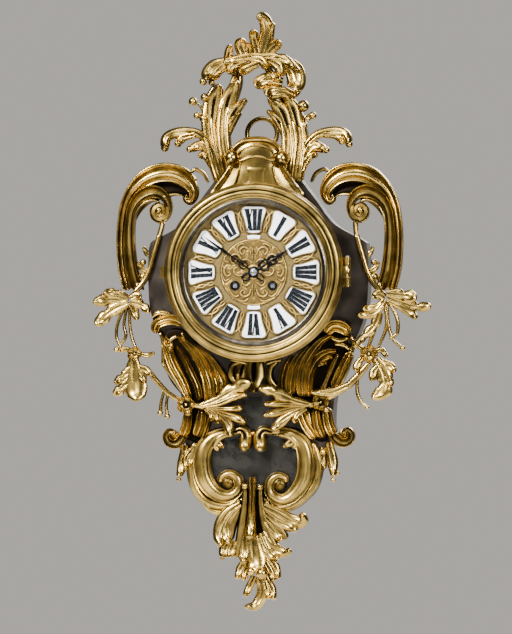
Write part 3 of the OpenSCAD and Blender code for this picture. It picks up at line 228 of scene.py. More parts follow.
def carried(path, depth, section, thick, count, taper=0.55):
    """Section carried along a path.

    Ring i is path(i) + across * half_width(i) * normal(i), raised forwards by height * thick * swell(i).
    The swell follows the width, and each end closes on a quarter circle.
    """
    p, run = smooth_path(path, count)
    _, normal = directions(p)
    width = p[:, 2].copy()
    for distance, end_width in ((run, width[0]), (run[-1] - run, width[-1])):
        width *= round_end(distance / end_width)
    swell = thick * ((1 - taper) + taper * width / width.max())
    across = section[None, :, 0] * width[:, None]
    x = p[:, :1] + normal[:, :1] * across
    z = p[:, 1:2] + normal[:, 1:2] * across
    front = along(depth, count)[:, None] + section[None, :, 1] * swell[:, None]
    return Patch(place(x, front, z), np.broadcast_to(section[None, :, 2], across.shape))


def broader(lines, spread):
    """Lines with their half widths multiplied."""
    return [[(x, z, w * spread) for x, z, w in line] for line in lines]


def bands(lines, depth, section, thick, count, spread=1.0):
    """Section carried along each line, broadened by the spread."""
    return [carried(line, depth, section, thick, count) for line in broader(lines, spread)]


# Acanthus leaf: shares of its half width, its length and its relief
NOTCH_CUT = 0.36
LOBE_LEAN = 0.35
GROOVE_HALF_W = 0.24
GROOVE_END = 0.86
TIP_AT = 0.92
TIP_REACH = 0.1
TIP_SWELL = 0.45
GROOVE_CUT, CREASE_CUT, VEIN_CUT = 0.4, 0.25, 0.15
GROOVE_DIRT, CREASE_DIRT, VEIN_DIRT, LEAF_BACK_DIRT = 0.8, 0.6, 0.4, 0.3


def acanthus(path, depth, lobes, thick, curl=0.0, rows=72, columns=12):
    """Leaf finger with a round, swollen tip.

    Along s and across v, the half width closes on a quarter circle at the tip, and notches part the lobes,
    which lean towards the tip. The front is the crown sqrt(1 - v*v) less a groove down the middle that fades
    out before the tip, where the leaf swells and bends forwards by curl. Slanting veins mark a leaf with
    several lobes.
    """
    p, run = smooth_path(path, rows)
    tangent, normal = directions(p)
    s = np.linspace(0, 1, rows)[:, None]
    v = np.linspace(-1, 1, 2 * columns + 1)[None, :]
    reach = np.abs(v)
    width = np.maximum(p[:, 2:3], 0.5 * p[:, 2].max() * s)
    closing = round_end((run[-1] - run)[:, None] / width[-1])
    fade = np.clip(4 * (s - 0.12), 0, 1) * np.clip(6 * (1 - 0.4 / lobes - s), 0, 1)
    notch = np.cos(np.pi * lobes * s) ** 6 * fade
    half = width * closing * (1 - NOTCH_CUT * notch)
    across = v * half
    lean = LOBE_LEAN * half * reach**1.6 * fade
    groove = np.exp(-((v / GROOVE_HALF_W) ** 2)) * np.clip(3 * (GROOVE_END - s), 0, 1)
    crease = notch * reach**2
    veins = min(lobes - 1, 1) * np.cos(2 * np.pi * lobes * (s - 0.1 * reach)) ** 8 * reach * fade
    swell = 1 + TIP_SWELL * np.exp(-(((s - TIP_AT) / TIP_REACH) ** 2))
    scale = thick * np.minimum(1.0, 0.3 + half / 6)
    crown = swell * np.sqrt(1 - 0.97 * v * v) - GROOVE_CUT * groove - CREASE_CUT * crease - VEIN_CUT * veins
    base = along(depth, rows)[:, None] + curl * s**3 * (1 - 0.25 * reach)
    x = p[:, :1] + normal[:, :1] * across + tangent[:, :1] * lean
    z = p[:, 1:2] + normal[:, 1:2] * across + tangent[:, 1:2] * lean
    front = place(x, base + scale * crown, z)
    back = place(x, base - 0.55 * scale * (1.15 - reach**2), z)
    recess = np.clip(GROOVE_DIRT * groove + CREASE_DIRT * crease + VEIN_DIRT * veins, 0, 1)
    shade = np.concatenate([recess, np.full_like(recess, LEAF_BACK_DIRT)], 1)
    return Patch(np.concatenate([front, back[:, ::-1]], 1), shade)


# A leaf this wide has lobes, one for each so many half widths of its length
BROAD_LEAF = 6.4
LOBE_STEP = 2.6
LEAF_SPREAD = 1.15


def lobe_count(line, most):
    """Lobes that a leaf has room for along its length; a slim leaf is plain."""
    widest = max(w for _, _, w in line)
    if widest < BROAD_LEAF:
        return 1
    _, run = smooth_path(line, SPAN_STEPS)
    return int(np.clip(round(run[-1] / (LOBE_STEP * widest)), 1, most))


def leaves(lines, depth, relief, curl=5.0, spread=LEAF_SPREAD, most=1):
    """Acanthus leaves along lines, broadened by the spread."""
    return [acanthus(line, depth, lobe_count(line, most), relief, curl) for line in broader(lines, spread)]


def bead(x, z, radius, depth, squash=1.0):
    """Ball: rings of radius*sin(a) at radius*cos(a), from pole to pole."""
    rings, sides, pole = 15, 24, 0.06
    a = np.linspace(pole, np.pi - pole, rings)[:, None]
    t = np.linspace(0, 2 * np.pi, sides, endpoint=False)[None, :]
    across, up = radius * np.sin(a) * np.cos(t), radius * np.sin(a) * np.sin(t)
    shade = np.broadcast_to(np.clip(a / 1.6 - 0.6, 0, 1), (rings, sides))
    return Patch(place(x + across, depth + squash * radius * np.cos(a), z + up), shade)


def balls(places, depth, squash=1.0):
    """Balls at (across, up, radius) places."""
    return [bead(x, z, r, depth, squash) for x, z, r in places]


def blossom(x, z, radius, depth, petals=5, cup=0.75, thick=1.8):
    """Cupped flower on a polar grid.

    The rim is a cosine of the angle with one wave per petal, the face rises with the cube of the distance
    from the middle, furrows lie between the petals, and the same face set back closes the flower behind.
    """
    t = np.linspace(0, 2 * np.pi, 90, endpoint=False)[None, :]
    rho = np.linspace(0.04, 1, 18)[:, None]
    wave = np.abs(np.cos(petals * t / 2))
    rim = radius * (0.8 + 0.2 * wave**0.6)
    furrow = (1 - wave) ** 3 * rho
    height = radius * (cup * rho**3 - 0.2 * cup * rho**8 - 0.2 * furrow)
    across, up = x + rim * rho * np.cos(t), z + rim * rho * np.sin(t)
    # Painted shade: the cup's middle is darkened, with patina in the furrows between the petals
    shade = np.clip(0.9 * furrow + 1.6 * (0.75 - rho) + 0 * t, 0, 1)
    face, back = place(across, depth + height, up), place(across, depth + height - thick, up)
    return Patch(np.concatenate([face, back[::-1]]), np.concatenate([shade, np.full_like(shade, 0.6)]))


def turned(profile, sides=192, x=0.0, z=DIAL_Z):
    """Closed profile of (radius, depth, recess) points turned round an axis that points forwards."""
    p = np.asarray(profile, float)[None]
    t = np.linspace(0, 2 * np.pi, sides, endpoint=False)[:, None]
    points = place(x + p[:, :, 0] * np.cos(t), p[:, :, 1] + 0 * t, z + p[:, :, 0] * np.sin(t))
    return Patch(points, np.broadcast_to(p[:, :, 2], points.shape[:2]), ring=True)


def moulding(profile, radius, depth, sides=192, x=0.0, z=DIAL_Z):
    """Ring turned from (inwards, forwards, recess) points, counted from a radius and a depth."""
    return turned([(radius - r, depth + d, s) for r, d, s in profile], sides, x, z)


def disc(profile, depth, x, z, spread=1.0):
    """Disc turned from (radius, forwards, recess) points, standing at a depth."""
    return turned([(r * spread, depth + d, s) for r, d, s in profile], 48, x, z)


def peg(x, z, radius, low, high, sides=32):
    """Dark round peg from one depth to another, which carries a casting."""
    return turned([(radius, low, 1), (radius, high, 1), (CORE_R, high, 1), (CORE_R, low, 1)], sides, x, z)


def bar(start, end, depth, thick, widths):
    """Straight flat bar between two places, as wide at its ends as the two widths."""
    a, b = np.asarray(start, float), np.asarray(end, float)
    side = np.array([a[1] - b[1], b[0] - a[0]]) / np.linalg.norm(b - a)
    across = np.array([1, -1, -1, 1]) * np.asarray(widths)[:, None] / 2
    ends = np.stack([a, b])[:, None] + side * across[:, :, None]
    depths = np.broadcast_to(depth + thick * np.array([1, 1, 0, 0]), (2, 4))
    return Patch(place(ends[..., 0], depths, ends[..., 1]), np.zeros((2, 4)))


def turn_patch(patch, degrees):
    """Patch turned clockwise, as seen from the front, about the dial's centre."""
    a = math.radians(degrees)
    p = patch.points - np.array([0, 0, DIAL_Z]) * MM
    px = p[..., 0] * math.cos(a) + p[..., 2] * math.sin(a)
    pz = p[..., 2] * math.cos(a) - p[..., 0] * math.sin(a) + DIAL_Z * MM
    return Patch(np.stack([px, p[..., 1], pz], -1), patch.recess, patch.ring)


def with_patina_and_shade(patches, casting):
    """Patches with the patina of a casting added; on some castings it is painted shadow."""
    share = PATINA_AND_SHADE[casting]
    return [Patch(patch.points, np.clip(patch.recess + share, 0, 1), patch.ring) for patch in patches]


def mirror_patch(patch):
    """Patch mirrored left to right."""
    return Patch(patch.points * np.array([-1, 1, 1]), patch.recess, patch.ring)


def patch_faces(patch):
    """Quads between neighbouring rows, two end faces unless the patch is a ring, all facing outwards.

    The sign of the volume under the quads, seen from the patch's middle, says which way they face.
    """
    rows, columns = patch.points.shape[:2]
    index = np.arange(rows * columns).reshape(rows, columns)
    lower = index if patch.ring else index[:-1]
    upper = np.roll(index, -1, 0) if patch.ring else index[1:]
    quads = np.stack([lower, np.roll(lower, -1, 1), np.roll(upper, -1, 1), upper], -1).reshape(-1, 4)
    flat = patch.points.reshape(-1, 3)
    a, b, c, d = (flat[quads[:, k]] - flat.mean(0) for k in range(4))
    volume = np.einsum("ij,ij->", a, np.cross(b, c)) + np.einsum("ij,ij->", a, np.cross(c, d))
    ends = [] if patch.ring else [index[0, ::-1], index[-1]]
    step = 1 if volume > 0 else -1
    return quads[:, ::step].tolist() + [end[::step].tolist() for end in ends]


def put(name, patches, finish, body, replaces=(), sharp=48):
    """Joins patches into one object with a finish, and lets it ride on a body."""
    faces, start = [], 0
    for patch in patches:
        faces += [[i + start for i in face] for face in patch_faces(patch)]
        start += patch.recess.size
    mesh = bpy.data.meshes.new(name)
    mesh.from_pydata(np.concatenate([patch.points.reshape(-1, 3) for patch in patches]), [], faces)
    shade = np.concatenate([np.asarray(patch.recess, np.float32).ravel() for patch in patches])
    mesh.attributes.new("recess", "FLOAT", "POINT").data.foreach_set("value", shade)
    mesh.polygons.foreach_set("use_smooth", np.ones(len(faces), bool))
    mesh.set_sharp_from_angle(angle=math.radians(sharp))
    mesh.materials.append(finish)
    mesh.update()
    piece = bpy.data.objects.new(name, mesh)
    bpy.context.scene.collection.objects.link(piece)
    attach(piece, body)
    if replaces:
        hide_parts(*replaces)


def cast(name, patches, look, node):
    """Puts a gilt casting on the case in the place of a node."""
    put(name, patches, look["fire_gilt_bronze"], "case", [node])


def linear(code):
    """Linear RGBA of an sRGB hex colour."""
    srgb = np.array([int(code[i : i + 2], 16) for i in (1, 3, 5)]) / 255
    rgb = np.where(srgb <= 0.04045, srgb / 12.92, ((srgb + 0.055) / 1.055) ** 2.4)
    return (*rgb.tolist(), 1.0)


def per_mm(size):
    """Texture scale that makes a pattern's spots this many millimetres wide."""
    return 1 / (size * MM)


def add(tree, kind, inputs=None, **settings):
    """Adds a shader node with its settings. Each input takes a value or another node's output."""
    node = tree.nodes.new("ShaderNode" + kind)
    for name, value in settings.items():
        setattr(node, name, value)
    for name, value in (inputs or {}).items():
        if isinstance(value, bpy.types.NodeSocket):
            tree.links.new(value, node.inputs[name])
        else:
            node.inputs[name].default_value = value
    return node.outputs


# Sockets of a colour mix, whose names repeat on the node
MIX_BY, MIX_FROM, MIX_TO, MIXED = 0, 6, 7, 2


def bare_material(name):
    """New material with an empty node tree."""
    material = bpy.data.materials.new(name)
    material.use_nodes = True
    material.node_tree.nodes.clear()
    return material.node_tree


def patina_and_nook_shade(tree, spots, share, reach, opening):
    """Where it is darkened: the deeper of a cut recess, where patina lies, and the closed nooks found by
    ambient occlusion, where shade is painted; made patchy by spots.
    """
    cut = add(tree, "Attribute", attribute_name="recess")["Fac"]
    open_sky = add(tree, "AmbientOcclusion", {"Distance": reach * MM}, samples=8)["AO"]
    low, high = opening
    closed = {"Value": open_sky, "From Min": low, "From Max": high, "To Min": 1.0, "To Max": 0.0}
    nook_shade = add(tree, "MapRange", closed)["Result"]
    deepest_patina_and_shade = add(tree, "Math", {0: cut, 1: nook_shade}, operation="MAXIMUM")["Value"]
    return add(tree, "Math", {0: spots, 1: share, 2: deepest_patina_and_shade}, operation="MULTIPLY_ADD")["Value"]


def fire_gilt_bronze(colours):
    """Fire-gilt cast bronze, rubbed: gold on the high places, brown-black patina and painted shade in the
    hollows.
    """
    tree = bare_material("fire_gilt_bronze")
    where = add(tree, "TexCoord")["Object"]
    cloud = add(tree, "TexNoise", {"Vector": where, "Scale": per_mm(18), "Detail": 4.0})["Fac"]
    spots = add(tree, "TexNoise", {"Vector": where, "Scale": per_mm(1.8), "Detail": 3.0})["Fac"]
    rubbed = add(tree, "MapRange", {"Value": cloud, "From Min": 0.36, "From Max": 0.66})["Result"]
    golds = {MIX_BY: rubbed, MIX_FROM: colours.gilt_deep, MIX_TO: colours.gilt_light}
    gold = add(tree, "Mix", golds, data_type="RGBA")[MIXED]
    # Patina in cut recesses, and painted shade in the nooks found by ambient occlusion
    spotty_patina_and_shade = patina_and_nook_shade(tree, spots, share=0.18, reach=7, opening=(0.05, 0.5))
    darkening = add(tree, "MapRange", {"Value": spotty_patina_and_shade, "From Min": 0.24, "From Max": 0.95})["Result"]
    tones = {MIX_BY: darkening, MIX_FROM: gold, MIX_TO: colours.patina}
    tone = add(tree, "Mix", tones, data_type="RGBA")[MIXED]
    dull = {"Value": spotty_patina_and_shade, "From Min": 0.1, "From Max": 1.4, "To Min": 0.24, "To Max": 0.56}
    rough = add(tree, "MapRange", dull)["Result"]
    chased = add(tree, "Bump", {"Height": spots, "Distance": 0.1 * MM, "Strength": 0.15})["Normal"]
    surface = {"Base Color": tone, "Roughness": rough, "Metallic": 1.0, "Normal": chased}
    add(tree, "OutputMaterial", {"Surface": add(tree, "BsdfPrincipled", surface)["BSDF"]})


def varnished_sheet(colours):
    """Sheet panel under old varnish: olive-brown, glossy, with worn grey patches."""
    tree = bare_material("varnished_sheet")
    where = add(tree, "TexCoord")["Object"]
    spot = {"Vector": where, "Scale": per_mm(30), "Detail": 6.0, "Roughness": 0.65}
    patch = add(tree, "TexNoise", spot)["Fac"]
    worn = add(tree, "MapRange", {"Value": patch, "From Min": 0.5, "From Max": 0.85})["Result"]
    tones = {MIX_BY: worn, MIX_FROM: colours.panel, MIX_TO: colours.panel_worn}
    tone = add(tree, "Mix", tones, data_type="RGBA")[MIXED]
    dull = {"Value": patch, "From Min": 0.3, "From Max": 0.75, "To Min": 0.16, "To Max": 0.42}
    rough = add(tree, "MapRange", dull)["Result"]
    surface = {"Base Color": tone, "Roughness": rough, "Metallic": 0.3, "Coat Weight": 0.4}
    add(tree, "OutputMaterial", {"Surface": add(tree, "BsdfPrincipled", surface)["BSDF"]})


def matt_gilding(name, light, deep):
    """Embossed dial plate, matt gilt: stippled ground with brown left between the grains, and painted shade
    in closed nooks.
    """
    tree = bare_material(name)
    where = add(tree, "TexCoord")["Object"]
    stipple = add(tree, "TexNoise", {"Vector": where, "Scale": per_mm(4.5), "Detail": 4.0})["Fac"]
    # Brown between the grains, and painted shade in the closed nooks found by ambient occlusion
    spotty_patina_and_shade = patina_and_nook_shade(tree, stipple, share=0.9, reach=2.5, opening=(0.4, 0.95))
    brown = add(tree, "MapRange", {"Value": spotty_patina_and_shade, "From Min": 0.25, "From Max": 1.1})["Result"]
    tone = add(tree, "Mix", {MIX_BY: brown, MIX_FROM: light, MIX_TO: deep}, data_type="RGBA")[MIXED]
    dull = {"Value": stipple, "From Min": 0.3, "From Max": 0.7, "To Min": 0.34, "To Max": 0.5}
    rough = add(tree, "MapRange", dull)["Result"]
    matt = add(tree, "Bump", {"Height": stipple, "Distance": 0.4 * MM, "Strength": 0.8})["Normal"]
    surface = {"Base Color": tone, "Roughness": rough, "Metallic": 0.9, "Normal": matt}
    add(tree, "OutputMaterial", {"Surface": add(tree, "BsdfPrincipled", surface)["BSDF"]})


def fired_enamel(colours):
    """Fired enamel on copper: cool white, glassy, faintly wavy, with painted shade as a dark line where it
    meets its rim.
    """
    tree = bare_material("fired_enamel")
    where = add(tree, "TexCoord")["Object"]
    wave = add(tree, "TexNoise", {"Vector": where, "Scale": per_mm(9), "Detail": 1.0})["Fac"]
    rim = add(tree, "Attribute", attribute_name="recess")["Fac"]
    tones = {MIX_BY: rim, MIX_FROM: colours.enamel, MIX_TO: colours.enamel_rim_shade}
    tone = add(tree, "Mix", tones, data_type="RGBA")[MIXED]
    fired = add(tree, "Bump", {"Height": wave, "Distance": 0.05 * MM, "Strength": 0.3})["Normal"]
    surface = {"Base Color": tone, "Roughness": 0.16, "Coat Weight": 0.5, "Normal": fired}
    add(tree, "OutputMaterial", {"Surface": add(tree, "BsdfPrincipled", surface)["BSDF"]})


# Grain of a surface: its size and depth in millimetres, its detail and its strength
FILED = {"size": 0.9, "depth": 0.03, "detail": 2.0, "strength": 0.3}
PAINTED = {**FILED, "strength": 0.0}
PLANISHED = {"size": 4, "depth": 0.1, "detail": 3.0, "strength": 0.2}


def two_tone(name, light, deep, gloss, spot, metallic=1.0, blend=0.7, dulling=0.14, grain=FILED):
    """Worked or painted surface: a light and a deeper tone in soft spots, rougher where deeper."""
    tree = bare_material(name)
    where = add(tree, "TexCoord")["Object"]
    cloud = add(tree, "TexNoise", {"Vector": where, "Scale": per_mm(spot), "Detail": 4.0})["Fac"]
    worked = {"Vector": where, "Scale": per_mm(grain["size"]), "Detail": grain["detail"]}
    lines = add(tree, "TexNoise", worked)["Fac"]
    share = add(tree, "MapRange", {"Value": cloud, "From Min": 0.35, "From Max": blend})["Result"]
    tone = add(tree, "Mix", {MIX_BY: share, MIX_FROM: light, MIX_TO: deep}, data_type="RGBA")[MIXED]
    dull = {"Value": cloud, "From Min": 0.3, "From Max": 0.7, "To Min": gloss, "To Max": gloss + dulling}
    rough = add(tree, "MapRange", dull)["Result"]
    relief = {"Height": lines, "Distance": grain["depth"] * MM, "Strength": grain["strength"]}
    filed = add(tree, "Bump", relief)["Normal"]
    surface = {"Base Color": tone, "Roughness": rough, "Metallic": metallic, "Normal": filed}
    add(tree, "OutputMaterial", {"Surface": add(tree, "BsdfPrincipled", surface)["BSDF"]})


def window_glass(colours):
    """Thin flat window glass: nearly unseen, with a faint cool tint, light dust and mirror-like glints."""
    tree = bare_material("window_glass")
    where = add(tree, "TexCoord")["Object"]
    dust = add(tree, "TexNoise", {"Vector": where, "Scale": per_mm(26), "Detail": 4.0})["Fac"]
    dull = {"Value": dust, "From Min": 0.35, "From Max": 0.75, "To Min": 0.02, "To Max": 0.07}
    rough = add(tree, "MapRange", dull)["Result"]
    surface = {"Base Color": colours.glass, "Roughness": rough, "Alpha": 0.035}
    add(tree, "OutputMaterial", {"Surface": add(tree, "BsdfPrincipled", surface)["BSDF"]})


def finishes(colours):
    """All finishes by name, made once."""
    if "fire_gilt_bronze" not in bpy.data.materials:
        for make in (fire_gilt_bronze, varnished_sheet, fired_enamel, window_glass):
            make(colours)
        # Matt gilding of the dial: brown-gold grain, brighter on the raised foliage, and painted shade
        # darkest on the ground behind it
        matt_gilding("matt_gilding", colours.dial_light, colours.dial_deep)
        matt_gilding("raised_gilding", colours.gilt_light, colours.dial_deep)
        matt_gilding("sunk_gilding", colours.dial_ground_shade, colours.patina)
        # Smooth sheet bronze under a dark lacquer: brown, glossy, slightly cloudy
        lacquer = {"gloss": 0.3, "spot": 30, "metallic": 0.85, "blend": 0.68, "dulling": 0.1}
        two_tone("lacquered_bronze", colours.case_deep, colours.case_light, **lacquer, grain=PLANISHED)
        # Overglaze paint: near black, a little less glossy than the enamel, with thin places
        paint = {"gloss": 0.18, "spot": 2.5, "metallic": 0.0, "grain": PAINTED}
        two_tone("painted_numeral", colours.numeral, colours.numeral_thin, **paint)
        # Hand-filed steel, heat-blued almost to black: a cold sheen
        two_tone("heat_blued_steel", colours.blued, colours.blued_sheen, gloss=0.26, spot=3)
        # Sheet and turned brass of the movement: clean yellow, lightly brushed
        two_tone("polished_brass", colours.brass, colours.brass_deep, gloss=0.24, spot=60)
        # Hardened steel: grey, finely filed
        two_tone("filed_steel", colours.steel, colours.steel_deep, gloss=0.26, spot=6)
        # Silvered brass with shade painted in: dark brown-grey as the sight ring lies in the bezel's shade,
        # soft gloss
        two_tone("silvered_brass", colours.shaded_silver, colours.shaded_silver_deep, gloss=0.24, spot=10)
        # Bell bronze, turned: pale and rich in tin
        two_tone("bell_bronze", colours.bell, colours.bell_deep, gloss=0.18, spot=20)
    return bpy.data.materials


def looks(context):
    """Sizes of the castings and numerals, and the finishes by name."""
    return context.scene.clock_sizes, finishes(context.scene.clock_colours)


def colour(name, description, code):
    """Colour property with a hex default."""
    shown = {"name": name, "description": description, "default": linear(code)}
    return FloatVectorProperty(**shown, subtype="COLOR", size=4, min=0, max=1)


def number(name, description, default, **kind):
    """Number property with its unit, its subtype or its range."""
    return FloatProperty(name=name, description=description, default=default, **kind)


class ClockColours(bpy.types.PropertyGroup):
    """Tones of the finishes"""

    gilt_light: colour("Gilding", "Rubbed gilding on the high places", "#C4A252")
    gilt_deep: colour("Worn gilding", "Browner gilding on flat places", "#806B36")
    # Also painted into closed nooks as shade
    patina: colour("Patina", "Dark patina in the hollows", "#0E0A06")
    case_light: colour("Case", "Lacquered case side", "#413A32")
    case_deep: colour("Case shade", "Deeper tone of the case side", "#2B251F")
    panel: colour("Panel", "Varnished lower panel", "#17150F")
    panel_worn: colour("Worn panel", "Rubbed varnish on the panel", "#26231C")
    dial_light: colour("Dial", "Matt gilding of the dial", "#8B7644")
    # Painted shade: the ground behind the dial's foliage is coloured darker
    dial_ground_shade: colour("Foliage ground", "Sunk ground behind the dial's foliage", "#7E6532")
    # Also painted into the dial's closed nooks as shade
    dial_deep: colour("Dial ground", "Brown ground between the dial's grains", "#36260F")
    enamel: colour("Enamel", "White enamel", "#FCFCFA")
    # Painted shade in the gap where each plate meets its frame
    enamel_rim_shade: colour("Enamel rim", "Line round each enamel plate", "#2A2722")
    numeral: colour("Numerals", "Painted numerals", "#090B0E")
    numeral_thin: colour("Thin paint", "Thin places in the numerals", "#15191E")
    blued: colour("Blued steel", "Hands", "#0E0D0D")
    blued_sheen: colour("Blued sheen", "Lighter places on the hands", "#26221F")
    brass: colour("Brass", "Plates and wheels", "#D6B25E")
    brass_deep: colour("Brass shade", "Deeper tone of the brass", "#C29C4C")
    steel: colour("Steel", "Arbors, screws and springs", "#A7ABB0")
    steel_deep: colour("Steel shade", "Deeper tone of the steel", "#767B82")
    # Painted shade: the sight ring is coloured dark as it lies in shade
    shaded_silver: colour("Silvering", "Sight ring", "#4A443A")
    shaded_silver_deep: colour("Silvering shade", "Deeper tone of the silvering", "#262119")
    bell: colour("Bell", "Bell bronze", "#CBB98C")
    bell_deep: colour("Bell shade", "Deeper tone of the bell", "#A28C58")
    glass: colour("Glass", "Door glass", "#1E2426")


class ClockSizes(bpy.types.PropertyGroup):
    """Relief of the castings, sizes of the numerals and places of the hands"""

    leaf_t: number("Leaf relief", "Relief of the acanthus leaves, mm", 4.0, min=1, max=6)
    band_t: number("Band relief", "Relief of the scroll bands, mm", 11.0, min=4, max=16)
    numeral_h: number("Numeral height", "Height of the hour numerals, mm", 25.4, min=10, max=28)
    numeral_w: number("Thick stroke", "Width of the numerals' thick strokes, mm", 5.6, min=1, max=6)
    minute_turn: number("Minute hand", "Clockwise from twelve", math.radians(-54.5), subtype="ANGLE")
    hour_turn: number("Hour hand", "Clockwise from twelve", math.radians(57), subtype="ANGLE")


class ClockStage(bpy.types.PropertyGroup):
    """Camera, floor, backdrop and lights"""

    azimuth: number("View angle", "Camera's turn to the right", math.radians(5.5), subtype="ANGLE")
    distance: number("Camera distance", "From the ornament to the camera", 6.0, unit="LENGTH")
    view_h: number("Picture height", "Height that fills the picture", 0.7608, unit="LENGTH")
    aim: FloatVectorProperty(
        name="Aim",
        description="Middle of the picture",
        default=(-0.002, -0.06, -0.222),
        subtype="TRANSLATION",
    )
    floor_drop: number("Floor drop", "Gap from the clock's lowest point to the floor", 0.12, unit="LENGTH")
    floor_half: number("Floor size", "Half width of the floor", 0.8, unit="LENGTH")
    floor_tone: colour("Floor", "Pale floor", "#D8D6D0")
    sky_front: colour("Room", "Dim room in front of the clock", "#34312D")
    sky_back: colour("Backdrop", "Pale light behind the clock", "#B9B5AE")
    key_power: number("Key light", "Soft light from the upper left", 420, unit="POWER")
    fill_power: number("Fill light", "Soft light from the right", 130, unit="POWER")
    top_power: number("Top light", "Soft light from above", 40, unit="POWER")
    low_power: number("Low light", "Soft light from below", 40, unit="POWER")
    rim_power: number("Rim light", "Soft light from behind", 90, unit="POWER")


# Dial in millimetres: across, and outwards from the dial's centre
ENAMEL_HALF = [
    (0, 46.5), (5.4, 46.9), (8.0, 48.6), (8.7, 52.5), (10.2, 60), (12.8, 68), (14.5, 72.6), (14.2, 76),
    (11, 78.2), (6, 78.4), (0, 78.2),
]
ENAMEL_MIDDLE = 63.0
ENAMEL_DOME = 0.55
DIAL_SCROLL = [
    (0.4, 48.6, 0.5), (1.7, 53, 0.9), (0.2, 58.5, 0.9), (-1.7, 64, 1.1), (-0.2, 70, 1.2),
    (2.6, 73.6, 1.0), (4.2, 77, 0.6),
]
NUMERALS = ["XII", "I", "II", "III", "IIII", "V", "VI", "VII", "VIII", "IX", "X", "XI"]
HOUR_ANGLE = 30
LETTER_WIDTH = {"I": 6.6, "V": 9.4, "X": 9.6}
LETTER_GAP = 0.4
NUMERAL_MAX_W = 23.0
NUMERAL_FOOT = 49.6
# Shares: thick stroke of a narrow letter, thin stroke and serifs of the thick one, foot of the top
STROKE_SHARE = 0.88
THIN_SHARE = 0.3
SERIF_SHARE = 0.6
FOOT_SERIF_SHARE = 0.8
FOOT_W_SHARE = 0.78
FOOT_SHARE = 0.68
SERIF_W = 0.5
PAINT_BACK = 0.3
PAINT_FRONT = RELIEF_FRONT + 0.75


def from_centre(line):
    """Line counted from the dial's centre, brought to heights from the hanging ring."""
    return [(x, DIAL_Z + z, w) for x, z, w in line]


def enamel_plate():
    """Plate at twelve: the outline scaled about its middle by s, crowned as 1 - s**4, with painted shade
    near the rim.
    """
    outline = whole_outline(ENAMEL_HALF, 40)
    s = np.array([0.02, 0.25, 0.5, 0.7, 0.84, 0.92, 0.955, 0.965, 1.0, 1.0])[:, None]
    x = s * outline[:, 0]
    r = ENAMEL_MIDDLE + s * (outline[:, 1] - ENAMEL_MIDDLE)
    depth = np.broadcast_to(RELIEF_FRONT + ENAMEL_DOME * (1 - s**4) - 0.15, x.shape).copy()
    depth[-1] = DIAL_FRONT - 0.1
    shade = np.broadcast_to(np.clip((s - 0.955) * 200, 0, 1), x.shape)
    return Patch(place(x, depth, DIAL_Z + r), shade)


def enamel_frame():
    """Gilt frame of the plate at twelve: the outline scaled about its middle, with a raised bead."""
    outline = whole_outline(ENAMEL_HALF, 40)
    across = np.array([1.0, 1.0, 1.025, 1.06, 1.1, 1.1])[:, None]
    rise = np.array([-1.0, 0.3, 0.9, 0.9, 0.2, -1.0])[:, None]
    darkening = np.array([1, 0.7, 0, 0, 0.7, 1])[:, None]
    x = across * outline[:, 0]
    r = ENAMEL_MIDDLE + (0.35 * across + 0.65) * (outline[:, 1] - ENAMEL_MIDDLE)
    points = place(x, RELIEF_FRONT + rise + 0 * x, DIAL_Z + r)
    return Patch(points, np.broadcast_to(darkening, x.shape), ring=True)


def numeral(letters, height, thick):
    """Roman numeral at twelve, its feet towards the centre: bars that fan outwards, with thin serifs."""
    widths = np.array([LETTER_WIDTH[c] for c in letters])
    fit = min(1.0, NUMERAL_MAX_W / widths.sum())
    ends = (np.cumsum(widths) - widths.sum() / 2) * fit
    foot, top = DIAL_Z + NUMERAL_FOOT, DIAL_Z + NUMERAL_FOOT + height
    thick = min(thick, STROKE_SHARE * LETTER_WIDTH["I"] * fit)
    back, rise = RELIEF_FRONT - PAINT_BACK, PAINT_FRONT - RELIEF_FRONT + PAINT_BACK
    serif = thick * SERIF_SHARE
    bars = []
    for letter, end, width in zip(letters, ends, widths * fit):
        left, right = end - width + LETTER_GAP, end - LETTER_GAP
        middle, first, last = (left + right) / 2, left + thick / 2, right - thick / 2
        # Each stroke runs from its place at the foot to its place at the top
        strokes = {
            "I": [(middle, middle, thick)],
            "V": [(middle, first, thick), (middle, right, thick * THIN_SHARE)],
            "X": [(last, first, thick), (left, right, thick * THIN_SHARE)],
        }[letter]
        for low, high, w in strokes:
            low *= FOOT_SHARE
            lines = [((low, foot), (high, top), (w * FOOT_W_SHARE, w))]
            lines.append(((high - serif, top), (high + serif, top), (SERIF_W, SERIF_W)))
            if letter != "V":
                half = serif * FOOT_SERIF_SHARE
                lines.append(((low - half, foot), (low + half, foot), (SERIF_W, SERIF_W)))
            bars += [bar(start, stop, back, rise, ends_w) for start, stop, ends_w in lines]
    return bars


class CLOCK_OT_dial(bpy.types.Operator):
    """Enamel hour plates with painted numerals, their frames and scrolls, and the foliage of the dial's
    centre
    """

    bl_idname = "clock.dial"
    bl_label = "Dial"

    def execute(self, context):
        sizes, look = looks(context)
        turns = [HOUR_ANGLE * h for h in range(12)]
        plate, border = enamel_plate(), enamel_frame()
        plates = [turn_patch(plate, a) for a in turns]
        put("hour_plates", plates, look["fired_enamel"], "case", ["enamel_cartouches"])
        strokes = [
            turn_patch(stroke, a)
            for a, letters in zip(turns, NUMERALS)
            for stroke in numeral(letters, sizes.numeral_h, sizes.numeral_w)
        ]
        put("hour_numerals", strokes, look["painted_numeral"], "case", sharp=20)
        ring = [turn_patch(border, a) for a in turns]
        scroll = carried(from_centre(DIAL_SCROLL), DIAL_FRONT, RIB_SECTION, thick=1.5, count=50)
        pair = (scroll, mirror_patch(scroll))
        ring += [turn_patch(patch, a + HOUR_ANGLE / 2) for a in turns for patch in pair]
        put("dial_ring", ring, look["raised_gilding"], "case")
        put("dial_foliage", dial_foliage(), look["raised_gilding"], "case")
        return {"FINISHED"}


